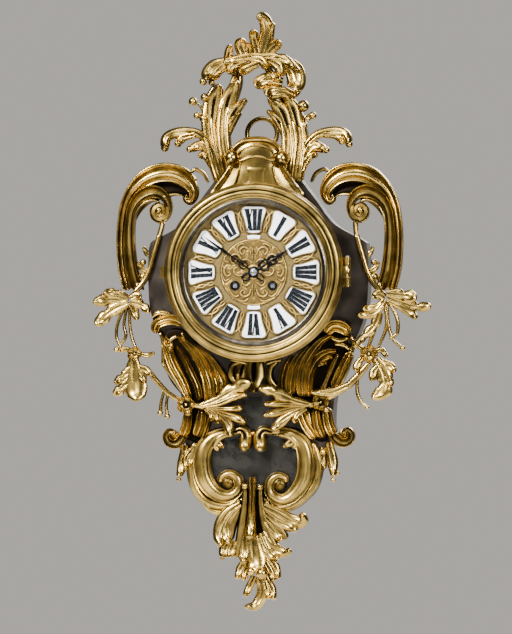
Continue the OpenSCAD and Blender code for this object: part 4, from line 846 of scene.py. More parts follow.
# Right half of the dial's foliage in millimetres from its centre: lines of (across, up, half width)
FOLIAGE_SCROLLS = [
    [(2, 11, 0.8), (7, 15, 1.2), (13, 14, 1.3), (16, 9, 1.2), (13, 5, 1.0), (9.5, 7, 0.8), (11, 10, 0.5)],
    [(14, 14, 0.8), (18, 20, 1.2), (24, 21, 1.3), (28, 16, 1.2), (25, 11, 1.0), (21, 13, 0.8),
     (22.5, 16.5, 0.5)],
    [(3, 20, 0.8), (6, 27, 1.2), (12, 30, 1.3), (16.5, 26, 1.1), (14, 21.5, 0.9), (10.5, 23.5, 0.6)],
    [(20, 25, 0.7), (19, 31, 1.1), (13.5, 34, 0.9), (10.5, 32.5, 0.5)],
    [(26, 8, 0.8), (32, 8, 1.2), (35.5, 2, 1.3), (33, -4, 1.1), (28.5, -3, 0.9), (28.5, 1, 0.6)],
    [(29, 12, 0.7), (34, 13, 1.0), (35, 17.5, 0.8), (32, 20, 0.5)],
    [(13, -3, 0.8), (18, -4, 1.2), (23, -1, 1.2), (23.5, 4, 1.0), (19.5, 5.5, 0.8), (18.5, 2, 0.5)],
    [(4, -12, 0.8), (9, -16, 1.2), (13.5, -13, 1.2), (12.5, -8.5, 1.0), (8.5, -9, 0.7)],
    [(3, -20, 0.8), (6, -27, 1.2), (12, -29, 1.3), (16, -25.5, 1.1), (13.5, -21.5, 0.9), (10, -23.5, 0.6)],
    [(17, -27, 0.7), (22, -29, 1.1), (27, -25, 1.1), (30, -19, 0.9), (33, -14, 0.6)],
    [(6, -31, 0.7), (11, -34.5, 1.0), (18, -33, 0.9), (21, -31, 0.5)],
    [(29, -8, 0.7), (34, -10, 1.0), (36.5, -6, 0.7)],
]
FOLIAGE_LEAVES = [
    [(0, 14, 2.0), (0, 24, 3.2), (0, 36, 1.2)],
    [(0, -14, 2.0), (0, -24, 3.2), (0, -36, 1.2)],
    [(6, 5, 1.5), (12, 1, 2.4), (21, -1.5, 0.8)],
    [(16, 16, 1.4), (21, 25, 2.2), (25, 31, 0.8)],
    [(22, 8, 1.4), (30, 5, 2.2), (37, 6, 0.8)],
    [(8, 17, 1.2), (8, 22, 1.8), (3, 30, 0.7)],
    [(15, -8, 1.2), (13, -17, 1.8), (8, -21, 0.7)],
    [(26, -10, 1.2), (32, -15, 2.0), (30, -23, 0.8)],
]
FOLIAGE_DOTS = [
    (30, 24, 1.2), (9.5, 7.5, 1.1), (21.5, 15.5, 1.1), (11, 24.5, 1.1), (29.5, -0.5, 1.1), (19, 3.5, 1.1),
    (11, -11.5, 1.1), (11, -24.5, 1.1), (36, 11, 1.0), (25, -31, 1.0), (5, 36.5, 1.0),
]
# Rim and boss of the dial's centre: (inwards, forwards, recess)
CENTRE_R = 39.4
CENTRE_RIM = [(0, -1.2, 1), (0, 0.1, 0), (0.7, 0.5, 0), (1.5, 0.1, 0.6), (1.5, -1.2, 1)]
BOSS_R = 8.6
BOSS_RIM = [(0, -1, 1), (0, 0.1, 0.2), (0.8, 0.6, 0), (2.0, 0.3, 0.5), (2.0, -1, 1)]


def dial_foliage():
    """Scrolls, leaves and dots of one half, mirrored, inside a beaded rim and round a boss at the hands."""
    seat = RELIEF_FRONT - 0.45
    half = bands([from_centre(line) for line in FOLIAGE_SCROLLS], seat, RIB_SECTION, thick=1.9, count=46)
    for line in FOLIAGE_LEAVES:
        half.append(acanthus(from_centre(line), seat + 0.2, lobes=3, thick=0.9, rows=40, columns=7))
    half += balls(from_centre(FOLIAGE_DOTS), seat + 0.3, squash=0.8)
    rim = moulding(CENTRE_RIM, CENTRE_R, RELIEF_FRONT)
    boss = moulding(BOSS_RIM, BOSS_R, RELIEF_FRONT, sides=96)
    return half + [mirror_patch(patch) for patch in half] + [rim, boss]


# Hands at twelve: (across, outwards, half width) from the dial's centre
MINUTE_BLADE = [
    (0, 4.5, 1.2), (0, 12, 0.8), (0, 22, 1.0), (0, 33, 0.8), (0, 42, 1.9), (0, 56, 1.3), (0, 74, 0.2),
]
MINUTE_CURLS = [
    [(0, 9, 0.5), (-3.4, 11.5, 0.8), (-4.4, 16, 0.9), (-2.2, 20, 0.8), (0, 18, 0.5)],
    [(0, 22, 0.5), (-2.8, 24.5, 0.7), (-3.2, 28.5, 0.8), (0, 33, 0.5)],
    [(0, -4, 0.9), (-3, -8, 0.9), (-2.2, -13, 0.8), (0, -15, 0.5)],
]
HOUR_BLADE = [
    (0, 5.5, 1.4), (0, 11, 0.9), (0, 20, 1.1), (0, 29, 1.0), (0, 35, 2.6), (0, 42, 1.5), (0, 50, 0.3),
]
HOUR_CURLS = [
    [(0, 8, 0.6), (-4.4, 10.5, 1.0), (-6, 16, 1.1), (-3.2, 21, 1.0), (0, 18, 0.6)],
    [(0, 20, 0.6), (-4, 23, 0.9), (-4.4, 28, 1.0), (0, 33, 0.6)],
    [(0, -5, 1.0), (-3.6, -9, 1.0), (-2.6, -14, 0.9), (0, -16, 0.6)],
]
# Eye of a hand: (inwards, share of the thickness)
EYE_PROFILE = [(0, 0), (0, 0.7), (0.3, 1), (2.4, 1), (2.4, 0)]
MINUTE_EYE_R = 5.0
HOUR_EYE_R = 6.0


def hand(node, blade, curls, eye, angle):
    """Blade, paired curls and eye of a hand as flat bands, turned to the hand's angle."""
    low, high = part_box(node)
    back, thick = -high.y / MM, (high.y - low.y) / MM
    flat = [carried(from_centre(line), back, FLAT_SECTION, thick, 60, taper=0.0) for line in (blade, *curls)]
    ring = turned([(eye - r, back + thick * d, 0) for r, d in EYE_PROFILE], 64)
    patches = flat + [mirror_patch(curl) for curl in flat[1:]] + [ring]
    return [turn_patch(patch, math.degrees(angle)) for patch in patches]


class CLOCK_OT_hands(bpy.types.Operator):
    """Pierced hour and minute hands"""

    bl_idname = "clock.hands"
    bl_label = "Hands"

    def execute(self, context):
        sizes, look = looks(context)
        steel = look["heat_blued_steel"]
        minute = hand("minute_hand", MINUTE_BLADE, MINUTE_CURLS, MINUTE_EYE_R, sizes.minute_turn)
        put("minute_pointer", minute, steel, "minute_group", ["minute_hand"])
        hour = hand("hour_hand", HOUR_BLADE, HOUR_CURLS, HOUR_EYE_R, sizes.hour_turn)
        put("hour_pointer", hour, steel, "hour_group", ["hour_hand"])
        return {"FINISHED"}


# Door moulding: (inwards from the bezel's edge, forwards from its back, recess); the high recess on the
# inner slope and wall is painted shade
BEZEL_PROFILE = [
    (19, 0, 0.3), (0.6, 0, 0.3), (0, 0.6, 0.2), (0, 3.2, 0.1), (0.7, 4.4, 0), (1.7, 4.9, 0.2),
    (2.1, 6.0, 0.9), (1.6, 7.2, 0.4), (1.8, 9.4, 0), (3.0, 11.8, 0), (5.0, 13.5, 0), (7.2, 14.0, 0),
    (8.6, 13.2, 0.4), (9.2, 12.2, 1), (9.7, 13.2, 0.4), (10.6, 14.8, 0), (11.9, 15.3, 0),
    (13.0, 14.8, 0.3), (13.6, 13.7, 0.7), (14.2, 13.6, 0.1), (15.2, 13.0, 0), (16.2, 12.2, 0.1),
    (16.9, 11.5, 0.5), (17.8, 11.1, 0), (18.9, 11.0, 0.4), (19, 10.2, 0.8), (19, 8.1, 0.8),
    (21, 8.1, 0.6), (21, 6.1, 0.3), (19, 6.1, 0.3),
]
# Hinge in millimetres: half height of the knuckle, its radius and rounding, and the arm that carries it
KNUCKLE_HALF_H = 7.4
KNUCKLE_R = 3.5
KNUCKLE_ROUND = 0.4
KNUCKLE_END_R = 3.0
ARM_INWARDS, ARM_OUTWARDS = 3, 4.5
ARM_W, ARM_T, ARM_SET = 15, 3.8, 0.2


def knuckle(low, high):
    """Round post of the hinge: rings about an upright axis, with rounded ends."""
    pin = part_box("hinge_pin")
    x, depth = (pin[0].x + pin[1].x) / 2 / MM, -(pin[0].y + pin[1].y) / 2 / MM
    z = np.array([low, low + KNUCKLE_ROUND, high - KNUCKLE_ROUND, high])[:, None]
    r = np.array([KNUCKLE_END_R, KNUCKLE_R, KNUCKLE_R, KNUCKLE_END_R])[:, None]
    t = np.linspace(0, 2 * np.pi, 40, endpoint=False)[None, :]
    return Patch(place(x + r * np.cos(t), depth + r * np.sin(t), z), np.zeros((4, 40)))


class CLOCK_OT_door(bpy.types.Operator):
    """Turned bezel with its knuckle, on the door"""

    bl_idname = "clock.door"
    bl_label = "Door"

    def execute(self, context):
        look = finishes(context.scene.clock_colours)
        door = with_patina_and_shade([moulding(BEZEL_PROFILE, BEZEL_R, BEZEL_BACK, sides=256)], "bezel")
        start, end = (BEZEL_R - ARM_INWARDS, DIAL_Z), (BEZEL_R + ARM_OUTWARDS, DIAL_Z)
        door.append(bar(start, end, BEZEL_BACK + ARM_SET, ARM_T, (ARM_W, ARM_W)))
        door.append(knuckle(DIAL_Z - KNUCKLE_HALF_H, DIAL_Z + KNUCKLE_HALF_H))
        put("door_moulding", door, look["fire_gilt_bronze"], "door", ["bezel"], sharp=60)
        return {"FINISHED"}


# Crown: shield's half outline, then lines of (across, up, half width)
SHIELD_HALF = [
    (0, -5.5), (10, -6.3), (20, -10), (28, -17), (33, -25), (34, -31), (31, -36), (31, -41), (36, -48),
    (42, -56), (48, -64), (54, -70), (55, -77), (30, -86), (0, -90),
]
SHIELD_PANEL = [
    (0, -36.5), (9, -37.5), (16, -40), (18.6, -44), (17, -51), (18.6, -59), (24, -68), (14, -72),
    (0, -73),
]
SHIELD_ARCS = [
    [(-29, -30, 1.6), (-27, -20, 2.0), (-16, -12, 2.0), (0, -10, 2.0), (16, -12, 2.0), (27, -20, 2.0),
     (29, -30, 1.6)],
    [(-23, -31, 1.0), (-18, -22, 1.3), (0, -16.4, 1.4), (18, -22, 1.3), (23, -31, 1.0)],
    [(-30, -36, 1.6), (-18, -34.5, 2.2), (-8, -31, 2.4), (0, -30, 2.4), (8, -31, 2.4), (18, -34.5, 2.2),
     (30, -36, 1.6)],
    [(-20, -40, 1.2), (-22, -50, 1.5), (-25, -60, 1.5), (-32, -69, 1.4)],
    [(20, -40, 1.2), (22, -50, 1.5), (25, -60, 1.5), (32, -69, 1.4)],
    [(-31, -40, 1.6), (-36, -49, 2.0), (-43, -59, 2.2), (-51, -69, 2.0)],
    [(31, -40, 1.6), (36, -49, 2.0), (43, -59, 2.2), (51, -69, 2.0)],
]
SHIELD_BULBS = [(-29.4, -31.4, 9.6), (30.4, -32.6, 9.6)]
SHIELD_T = 11
SHIELD_PEG = (0, -44, 5)
RING_FACE = [
    (0.1, -0.6, 1), (0.1, 0.4, 0), (0.9, 1.5, 0), (2.6, 2.1, 0), (4.3, 1.5, 0), (5.1, 0.4, 0),
    (5.1, -0.6, 1),
]
CREST_LEAVES = [
    [(4, 90, 4.4), (9, 109, 6), (11.4, 124, 6), (7.4, 136, 5.2), (-1, 138.6, 4)],
    [(12, 95, 2.8), (15.4, 114, 3), (19.4, 131, 2)],
    [(-1, 95, 4), (-4, 112, 4.4), (-5.5, 123, 3.8)],
    [(-16.7, 90, 4.4), (-20, 103, 6), (-18, 113, 4.6)],
    [(-10, 90, 3), (-11, 100, 3.6), (-10, 107, 3)],
    [(-38, 84, 3.4), (-35, 95, 4), (-32.8, 105, 2.4)],
    [(11, 91, 3.4), (19, 102, 5), (29, 108, 4.2)],
    [(-36, 84, 5), (-51, 79.5, 6.2), (-60, 71, 5.6), (-61, 62, 4.4)],
    [(-36, 82, 4), (-49, 73, 4.8), (-53.5, 62, 4.2)],
    [(-14, 88, 5), (-29, 80, 6), (-34.4, 69, 5)],
    [(0, 82, 3.2), (-13, 76, 4.4), (-22, 70.5, 3.8)],
    [(-9, 89, 3.6), (4, 86, 4.4), (12, 75, 3.4)],
    [(13, 87, 4), (26, 78, 5.4), (27.4, 65, 4.4)],
    [(28, 86, 5.6), (44, 75, 7.2), (49, 60, 6.6), (45, 48, 4.8)],
    [(36, 76, 3.4), (41, 62, 4.4), (39.5, 53, 3.4)],
    [(30, 60, 4), (12, 63, 6.2), (-3.5, 54.5, 5.8)],
    [(45, 41, 4.4), (31.5, 47, 5.4), (15.4, 47, 6.2), (10, 43, 4.6)],
    [(16, 88, 3), (32, 88, 3.6), (51, 72, 2.2)],
]
CREST_BRANCHES = [
    [(12, 90, 3.4), (-6, 91, 4.4), (-24, 87.5, 4.6), (-42, 83, 4)],
    [(-2, 90.5, 3.4), (16, 90.5, 4.4), (34, 85, 4.6), (45, 76, 4)],
    [(6, 87, 3), (12, 76, 3.6), (20, 66, 3.4), (27, 61, 3)],
    [(48, 62, 3), (49, 52, 3.4), (44, 42, 3)],
]
CREST_BEADS = [(-65.6, 61, 4.8), (-55.6, 60, 4.2)]
LEFT_STRANDS = [
    [(-43, -62, 9), *from_photo(STEM_VIEW_D, (215, 160, 8), (210, 138, 8)), (-60, 16.8, 9.6),
     *from_photo(STEM_VIEW_D, (211, 100, 8)), (-47, 58, 7)],
    [(-33.7, -62, 9), *from_photo(STEM_VIEW_D, (226, 160, 8), (223, 138, 8), (223, 118, 8)),
     (-37.3, 35, 11), (-27, 60, 8), (-25, 86, 5)],
]
RIGHT_STRANDS = [
    [(45.5, -62, 9), *from_photo(STEM_VIEW_D, (299, 160, 8), (301, 140, 8), (298, 122, 8), (292, 107, 7)),
     (30, 46, 6)],
    [(34.7, -62, 9), *from_photo(STEM_VIEW_D, (288, 160, 8), (289, 140, 8), (286, 122, 8), (279, 107, 8)),
     (13.1, 46, 7)],
]
LEFT_SIDE_LEAVES = [
    [(-52, -30, 4), (-60, -12.7, 4.2), (-73, -1.4, 4.6), (-94, 0.2, 5.2), (-110, -6.3, 5.2),
     (-112, -20, 5)],
    [(-76, -3, 3.6), (-90.7, -6.3, 4.8), (-96, -14, 4.8)],
    [(-50, -42, 4), (-58.5, -27, 4.4), (-68, -16, 5.2), (-82.6, -20.7, 4.2)],
    [(-52, -48, 3.4), (-57, -38, 3.6), (-63.4, -28, 4.2), (-72, -28.8, 3.2)],
]
RIGHT_SIDE_LEAVES = [
    [(52, -32, 4), (60.4, -14, 4.2), (73, -3, 4.6), (91, 0.2, 5.2), (105.4, -3, 5), (110, -15.5, 4.4)],
    [(79.7, -3, 3.6), (95.7, -4.7, 4.6), (101.4, -12, 4.4)],
    [(50, -44, 4), (56, -31, 4.4), (67, -17.5, 5.6), (83, -22, 4.4)],
    [(53, -48, 3.2), (57, -38.4, 3.4), (63.6, -28.8, 3.8), (73, -27.2, 3)],
]
LEFT_STEM_TIPS = [
    [(-56, 12, 6), (-53, 36, 8), (-46, 58, 3.4)],
    [(-41, 12, 7), (-36, 38, 9), (-24, 62, 4)],
    [(-38, 4, 5), (-27, 26, 6), (-13, 40, 2.6)],
    [(-40, -10, 4), (-31, 12, 5), (-20, 24, 2.2)],
]
RIGHT_STEM_TIPS = [
    [(48, 6, 6), (42, 28, 7.5), (35, 44, 3.4)],
    [(37, 4, 6), (28, 26, 8), (13, 40, 3.4)],
    [(33, -6, 4), (24, 14, 5), (11, 26, 2.4)],
]
LEFT_BULBS = [(-112, -18.5, 5), (-96, -13.4, 4.6), (-82, -20.4, 4.2)]
RIGHT_BULBS = [(110, -14.5, 4.6), (101, -11.4, 4.2), (82.4, -21.6, 4.4)]
LEFT_BERRIES = from_photo(BERRY_VIEW_D, (193, 101, 4.4), (205, 97, 4.4), (197, 115, 3.4), (204, 118, 4.6))
RIGHT_BERRIES = [
    *from_photo(BERRY_VIEW_D, (304, 106, 6), (313.5, 115.5, 3.8)),
    (55, 8.4, 4.6),
    *from_photo(BERRY_VIEW_D, (309, 119, 2.6)),
]
STEM_DEPTH = [FRONT_SEAT, FRONT_SEAT, FRONT_SEAT - 3, FRONT_SEAT - 7, CREST_D - 9.3, CREST_D - 9.3]


def pillow(half_outline, seat, rise, spine):
    """Pillow-shaped field: an outline and its mirror scaled about a spine, with a moulded rim.

    Each ring is the outline times s, and the rise steps from a crown down to a rim and then to the seat.
    """
    outline = whole_outline(half_outline, 90)
    s = np.array([0.02, 0.2, 0.4, 0.58, 0.72, 0.82, 0.88, 0.92, 0.96, 1.0, 1.0, 1.0])[:, None]
    step = np.array([1, 0.98, 0.93, 0.84, 0.72, 0.6, 0.55, 0.62, 0.64, 0.54, 0.25, 0])[:, None]
    darkening = np.array([0, 0, 0, 0, 0.05, 0.3, 0.6, 0.1, 0, 0.2, 0.8, 1])[:, None]
    middle = np.clip(outline[:, 1], *spine)
    x = s * outline[:, 0]
    z = middle + s * (outline[:, 1] - middle)
    return Patch(place(x, seat + rise * step + 0 * x, z), np.broadcast_to(darkening, x.shape))


def twig_to(root, x, z):
    """Thin twig from below a stem's place to a berry, bent upwards at its middle."""
    return [(root[0], root[1] - 12, 1.6), ((root[0] + x) / 2, (root[1] + z) / 2 + 3, 1.5), (x, z, 1.4)]


class CLOCK_OT_crown(bpy.types.Operator):
    """Ring moulding, lobed shield, crest, stems with side leaves and berries"""

    bl_idname = "clock.crown"
    bl_label = "Crown"

    def execute(self, context):
        sizes, look = looks(context)
        low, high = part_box("hanging_ring")
        face = moulding(RING_FACE, (high.x - low.x) / 2 / MM, front_of("hanging_ring"), sides=96, x=0, z=0)
        put("ring_face", [face], look["fire_gilt_bronze"], "case")
        seat = front_of("cartouche_shield") - SHIELD_T
        shield = [pillow(SHIELD_HALF, seat, 13, (-74, -24)), pillow(SHIELD_PANEL, seat + 7, 6.5, (-60, -48))]
        shield += bands(SHIELD_ARCS, seat + 6, RIB_SECTION, thick=8.5, count=80)
        shield += balls(SHIELD_BULBS, seat + 12, squash=1.1)
        carrier = peg(*SHIELD_PEG, back_of("cartouche_shield"), seat + 2, sides=48)
        cast("lobed_shield", [*with_patina_and_shade(shield, "shield"), carrier], look, "cartouche_shield")
        crest = leaves(CREST_BRANCHES, [CREST_D + 3, CREST_D + 5], sizes.band_t * 0.5, curl=3, spread=1.25)
        crest += leaves(CREST_LEAVES, [CREST_D + 3, CREST_D + 6], sizes.leaf_t * 1.3, curl=7, spread=1.4)
        crest += balls(CREST_BEADS, CREST_D + 6)
        cast("crest_leaves", crest, look, "crest")
        for side, strands, side_leaves, tips, bulbs, berries in (
            ("left", LEFT_STRANDS, LEFT_SIDE_LEAVES, LEFT_STEM_TIPS, LEFT_BULBS, LEFT_BERRIES),
            ("right", RIGHT_STRANDS, RIGHT_SIDE_LEAVES, RIGHT_STEM_TIPS, RIGHT_BULBS, RIGHT_BERRIES),
        ):
            stem = bands(strands, STEM_DEPTH, STEM_SECTION, sizes.band_t, count=120)
            outwards = [FRONT_SEAT + 3, FRONT_SEAT - 1]
            stem += leaves(side_leaves, outwards, sizes.leaf_t * 1.4, curl=4, spread=1.2)
            hoods = leaves(tips, [FRONT_SEAT - 2, CREST_D], sizes.leaf_t * 1.2, curl=6, spread=1.1)
            # Painted shadow: the stem tips are darkened where they curve back into shade
            stem += with_patina_and_shade(hoods, "stem tips")
            stem += balls(bulbs, FRONT_SEAT + 4)
            for x, z, r in berries:
                twig = carried(twig_to(strands[0][3], x, z), CREST_D - 4, RIB_SECTION, thick=3, count=30)
                stem += [bead(x, z, r, CREST_D + 1), twig]
            cast(f"{side}_stem_leaves", stem, look, f"{side}_stem")
        return {"FINISHED"}


# Left wing, mirrored on the right
WING_OUTER = [
    (-159, -190, 4.8), (-165.6, -163, 4.8), (-167.6, -130, 4.8), (-165.6, -103, 5.2), (-161.4, -85, 5.8),
    *from_photo(WING_VIEW_D, (132, 189, 6.5), (144, 178.5, 8.5), (158, 173, 9.5), (172, 173, 9.5)),
    (-91.8, -55, 10), (-82, -65, 8), (-79.5, -75, 6), (-84, -83, 4.4), (-90, -80, 3), (-88, -74, 2.2),
]
WING_INNER = [
    (-147.6, -190, 7), (-154.8, -163, 7), (-158, -130, 6.3), (-157, -103, 5.6), (-153, -87.6, 6),
    *from_photo(
        WING_VIEW_D, (140, 195.5, 6.5), (151, 191, 7), (161, 193.5, 6), (167, 201, 4.5), (168, 209.5, 3.8),
        (164.5, 217, 3.6), (158, 219.5, 3.4), (152.5, 215.5, 3.2), (152, 208.5, 3), (157, 204.2, 2.6),
        (162, 206.5, 2.2), (162, 211, 1.8),
    ),
]
WING_HOOD = [
    (-162, -140, 4), (-160, -112, 7), (-152, -88, 11), (-138, -71, 15), (-120, -63, 17), (-104, -63, 14),
    (-92, -69, 9), (-86, -78, 5),
]
WING_FILLETS = [
    [(-164, -190, 1.4), (-170.4, -163, 1.4), (-172.4, -130, 1.4), (-170.6, -103, 1.5), (-166.6, -83, 1.6),
     (-157, -63, 1.8), (-142, -46.5, 2.0), (-123, -38.4, 2.0), (-104, -38.4, 2.0), (-87, -45, 1.8),
     (-76, -58, 1.6)],
    [(-141, -190, 1.6), (-148.4, -163, 1.6), (-152, -130, 1.6), (-151, -104, 1.6), (-146, -91, 1.8),
     (-138, -83.5, 2.0), (-128, -81, 2.0), (-121, -84, 1.6)],
]
WING_VINE = [
    (-116, -106, 3.2), (-119, -124, 3.4), (-125, -146, 3.6), (-131, -166, 3.6), (-138, -180, 3.4),
    (-149, -193, 3.2),
]
VINE_DEPTH = [WING_D + 9, FRONT_SEAT, FRONT_SEAT + 1, FRONT_SEAT + 1, FRONT_SEAT + 2, FRONT_SEAT + 4]
WING_CURL = [(-62, -60, 2.0), (-68, -49, 2.6), (-78, -44, 2.6), (-84, -48, 2.0)]
WING_EYE = (-121.5, -93.5, 4.6)
WING_DISC = [(11, 0, 1), (10.6, 5.4, 0.4), (6, 6.2, 0.3), (0.3, 7, 0), (0.3, 0, 1)]
WING_BUDS = [(-139.2, -156, 3.8), (-139.2, -174, 6), (-123, -134, 3.2), (-146, -184, 4)]
WING_LEAVES = [
    [(-126, -150, 2), (-134, -146, 3), (-139, -137, 1.6)],
    [(-132, -168, 2), (-140, -164, 3.2), (-146, -156, 1.8)],
]


class CLOCK_OT_wings(bpy.types.Operator):
    """Two fluted wings with volutes, vines and buds"""

    bl_idname = "clock.wings"
    bl_label = "Wings"

    def execute(self, context):
        sizes, look = looks(context)
        wing = [
            carried(WING_OUTER, WING_D, SCROLL_SECTION, sizes.band_t, count=180),
            carried(WING_INNER, WING_D, HOLLOW_SECTION, sizes.band_t * 1.1, count=200),
            carried(WING_VINE, VINE_DEPTH, RIB_SECTION, thick=4.4, count=80),
            carried(WING_CURL, WING_D, RIB_SECTION, thick=5, count=50),
        ]
        hood = carried(WING_HOOD, WING_D - 4, HOLLOW_SECTION, sizes.band_t * 0.8, count=140)
        # Painted shadow: the hood's underside is darkened as if in shade
        wing += with_patina_and_shade([hood], "wing hood")
        wing += bands(WING_FILLETS, WING_D, RIB_SECTION, sizes.band_t * 0.9, count=150)
        wing += leaves(WING_LEAVES, [FRONT_SEAT - 2, FRONT_SEAT - 6], relief=2.4)
        wing += balls(WING_BUDS, FRONT_SEAT - 4)
        x, z, _ = WING_EYE
        wing += [*balls([WING_EYE], WING_D + 6), disc(WING_DISC, WING_D, x + 1.5, z - 2)]
        cast("left_wing", wing, look, "left_c_scroll")
        cast("right_wing", [mirror_patch(patch) for patch in wing], look, "right_c_scroll")
        return {"FINISHED"}


# Garlands: leaves, twigs and flowers
LEFT_SWAG_LEAVES = [
    [(-154, -201, 4), (-168, -195, 6.5), (-184, -192, 3.5)],
    [(-155, -203, 5), (-176, -201, 8), (-197, -204.5, 4)],
    [(-156, -205, 5), (-174, -214, 8), (-194, -232, 5)],
    [(-152, -200, 3.5), (-145, -196.5, 5), (-138, -199, 2.5)],
    [(-152, -204, 4), (-139, -207.5, 6), (-128, -217, 2.5)],
    [(-153, -206, 3.5), (-147.5, -215, 5), (-143, -226, 2.5)],
    [(-148, -272, 5), (-148, -290, 11), (-145, -308, 12), (-144, -324, 7)],
    [(-150, -282, 4), (-160, -293, 6), (-171, -302, 3)],
    [(-150, -294, 4), (-161, -306, 6.5), (-172, -316, 3.5)],
    [(-143, -286, 4), (-138, -294, 5), (-134, -302, 2.5)],
    [(-142, -282, 3.5), (-133, -286, 4.5), (-125.5, -292, 2.2)],
    [(-144, -265, 2.4), (-132, -268, 3), (-122, -265, 2)],
    [(-150, -262, 2.4), (-159, -261, 3.2), (-166, -263, 2)],
    [(-68, -328, 2.4), (-50, -322, 5), (-32, -312, 8.5), (-16, -303, 7.4), (-5, -299, 3.6)],
    [(-66, -329, 2), (-46, -326, 3.4), (-26, -318, 3.6), (-10, -315, 2.6)],
    [(-60, -330, 1.6), (-36, -332, 2.6), (-16, -331, 4)],
    [(-58, -331, 1.6), (-38, -338, 3), (-22, -344, 4.6), (-12, -348, 3.4)],
    [(-56, -332, 1.8), (-42, -341, 4), (-34, -352, 5.4), (-30, -366, 3.4)],
    [(-60, -332, 1.6), (-50, -338, 3.4), (-45, -350, 3.2)],
    [(-62, -332, 1.6), (-56, -337, 3), (-53, -347, 2.6)],
]
LEFT_SWAG_TWIGS = [
    [(-156, -204, 1.8), (-167, -228, 2), (-169, -246, 2), (-163, -259, 1.6)],
    [(-155, -204, 1.8), (-160, -230, 2), (-158, -246, 2), (-169, -261, 1.6)],
    [(-153, -204, 1.8), (-153, -232, 2), (-150, -248, 2), (-145, -260, 1.6)],
    [(-138, -282, 3), (-130, -288, 3.4), (-118, -302, 3.4), (-106, -314, 3.2), (-88, -325, 3)],
    [(-111, -309, 1.8), (-115, -324, 2), (-116, -336, 2.4)],
    [(-107, -314, 1.8), (-109, -328, 2), (-107.6, -341, 2.4)],
    [(-80, -327, 3), (-62, -330, 3.4)],
]
LEFT_SWAG_FLOWERS = [(-147, -266, 9), (-85, -327, 11)]
LEFT_SWAG_BUDS = [(-169, -261, 3.2), (-116, -337, 3.4), (-107.6, -341, 3.6), (-82, -337, 4.2)]
RIGHT_SWAG_LEAVES = [
    [(156, -194, 4), (172, -195.5, 7), (184, -198, 7.5), (193, -200, 4)],
    [(158, -199, 4), (174, -205, 5.5), (192, -210, 6), (210, -209, 4)],
    [(160, -203, 3.5), (178, -212, 5), (193, -224, 3.2)],
    [(154, -199, 4), (147, -195, 5.5), (139, -199, 3.5)],
    [(154, -201, 4), (146, -210, 5), (127, -212.5, 3)],
    [(151, -208, 4), (139, -218, 5), (121, -220, 2.6)],
    [(148, -216, 4), (140, -234, 6), (119, -255, 3)],
    [(144, -272, 5), (153, -290, 9), (153, -308, 9), (139, -320, 4)],
    [(150, -276, 3.5), (160, -281, 5), (167, -288, 3)],
    [(156, -292, 4), (160, -300, 4.5), (160, -306, 2.5)],
    [(148, -278, 3.5), (141, -288, 5), (139, -299, 3.5)],
    [(127, -270, 3), (121, -280, 4.5), (119, -287, 2.5)],
    [(110, -304, 4), (90, -312, 5), (66, -312.5, 2.6)],
    [(130, -262, 2.4), (122, -256, 3), (117, -252, 2)],
    [(142, -262, 2.4), (150, -262, 3.4), (157, -270, 2.4)],
    [(66, -327, 2.4), (46, -322, 4.6), (28, -315, 7.4), (14, -309, 6), (2, -307, 3)],
    [(62, -328, 1.8), (42, -327, 2.6), (22, -326, 3.6), (9, -326, 3)],
    [(58, -329, 1.6), (40, -332, 2.8), (22, -337, 4.4), (8, -340, 2.8)],
    [(56, -331, 1.8), (42, -338, 4), (30, -347, 5.4), (19, -358, 3.4)],
    [(60, -332, 1.6), (50, -338, 3.4), (45, -349, 3)],
]
RIGHT_SWAG_TWIGS = [
    [(153, -202, 1.8), (156, -226, 2.2), (154, -240, 2.2), (146, -258, 1.8)],
    [(157, -202, 2), (168, -222, 2.4), (169, -240, 2.2), (162, -247, 1.8)],
    [(156, -206, 2), (159, -236, 2.2), (165, -250, 2.2), (175, -259, 2)],
    [(150, -208, 2), (142, -235, 2.6), (134, -258, 2.2)],
    [(136, -276, 3), (119, -295, 4.5), (106, -307, 4), (84, -320, 3)],
    [(121, -294, 1.8), (121, -312, 2.4), (126, -324, 2.2), (133, -330, 1.6)],
    [(76, -325, 3), (62, -328, 3.4)],
]
RIGHT_SWAG_FLOWERS = [(135, -266, 11), (77, -324, 10)]
RIGHT_SWAG_BUDS = [
    (175, -259, 3.2), (162, -247, 2.8), (133, -330, 2.4), (119, -256, 3.6), (84, -333, 3.6),
]
SWAG_PEG_R = 4


class CLOCK_OT_garlands(bpy.types.Operator):
    """Two garlands of leaves, twigs, flowers and buds"""

    bl_idname = "clock.garlands"
    bl_label = "Garlands"

    def execute(self, context):
        sizes, look = looks(context)
        for side, sprays, twigs, flowers, buds in (
            ("left", LEFT_SWAG_LEAVES, LEFT_SWAG_TWIGS, LEFT_SWAG_FLOWERS, LEFT_SWAG_BUDS),
            ("right", RIGHT_SWAG_LEAVES, RIGHT_SWAG_TWIGS, RIGHT_SWAG_FLOWERS, RIGHT_SWAG_BUDS),
        ):
            swag = leaves(sprays, SWAG_D + 2, sizes.leaf_t, most=4)
            swag += bands(twigs, SWAG_D, RIB_SECTION, thick=4.6, count=60)
            swag += balls(buds, SWAG_D + 3)
            for x, z, r in flowers:
                swag += [blossom(x, z, r, SWAG_D + 1), bead(x, z, r * 0.2, SWAG_D + 2)]
            x, z, _ = flowers[1]
            swag.append(peg(x, z, SWAG_PEG_R, FRONT_SEAT, SWAG_D + 3))
            cast(f"{side}_swag", swag, look, f"{side}_garland")
        return {"FINISHED"}


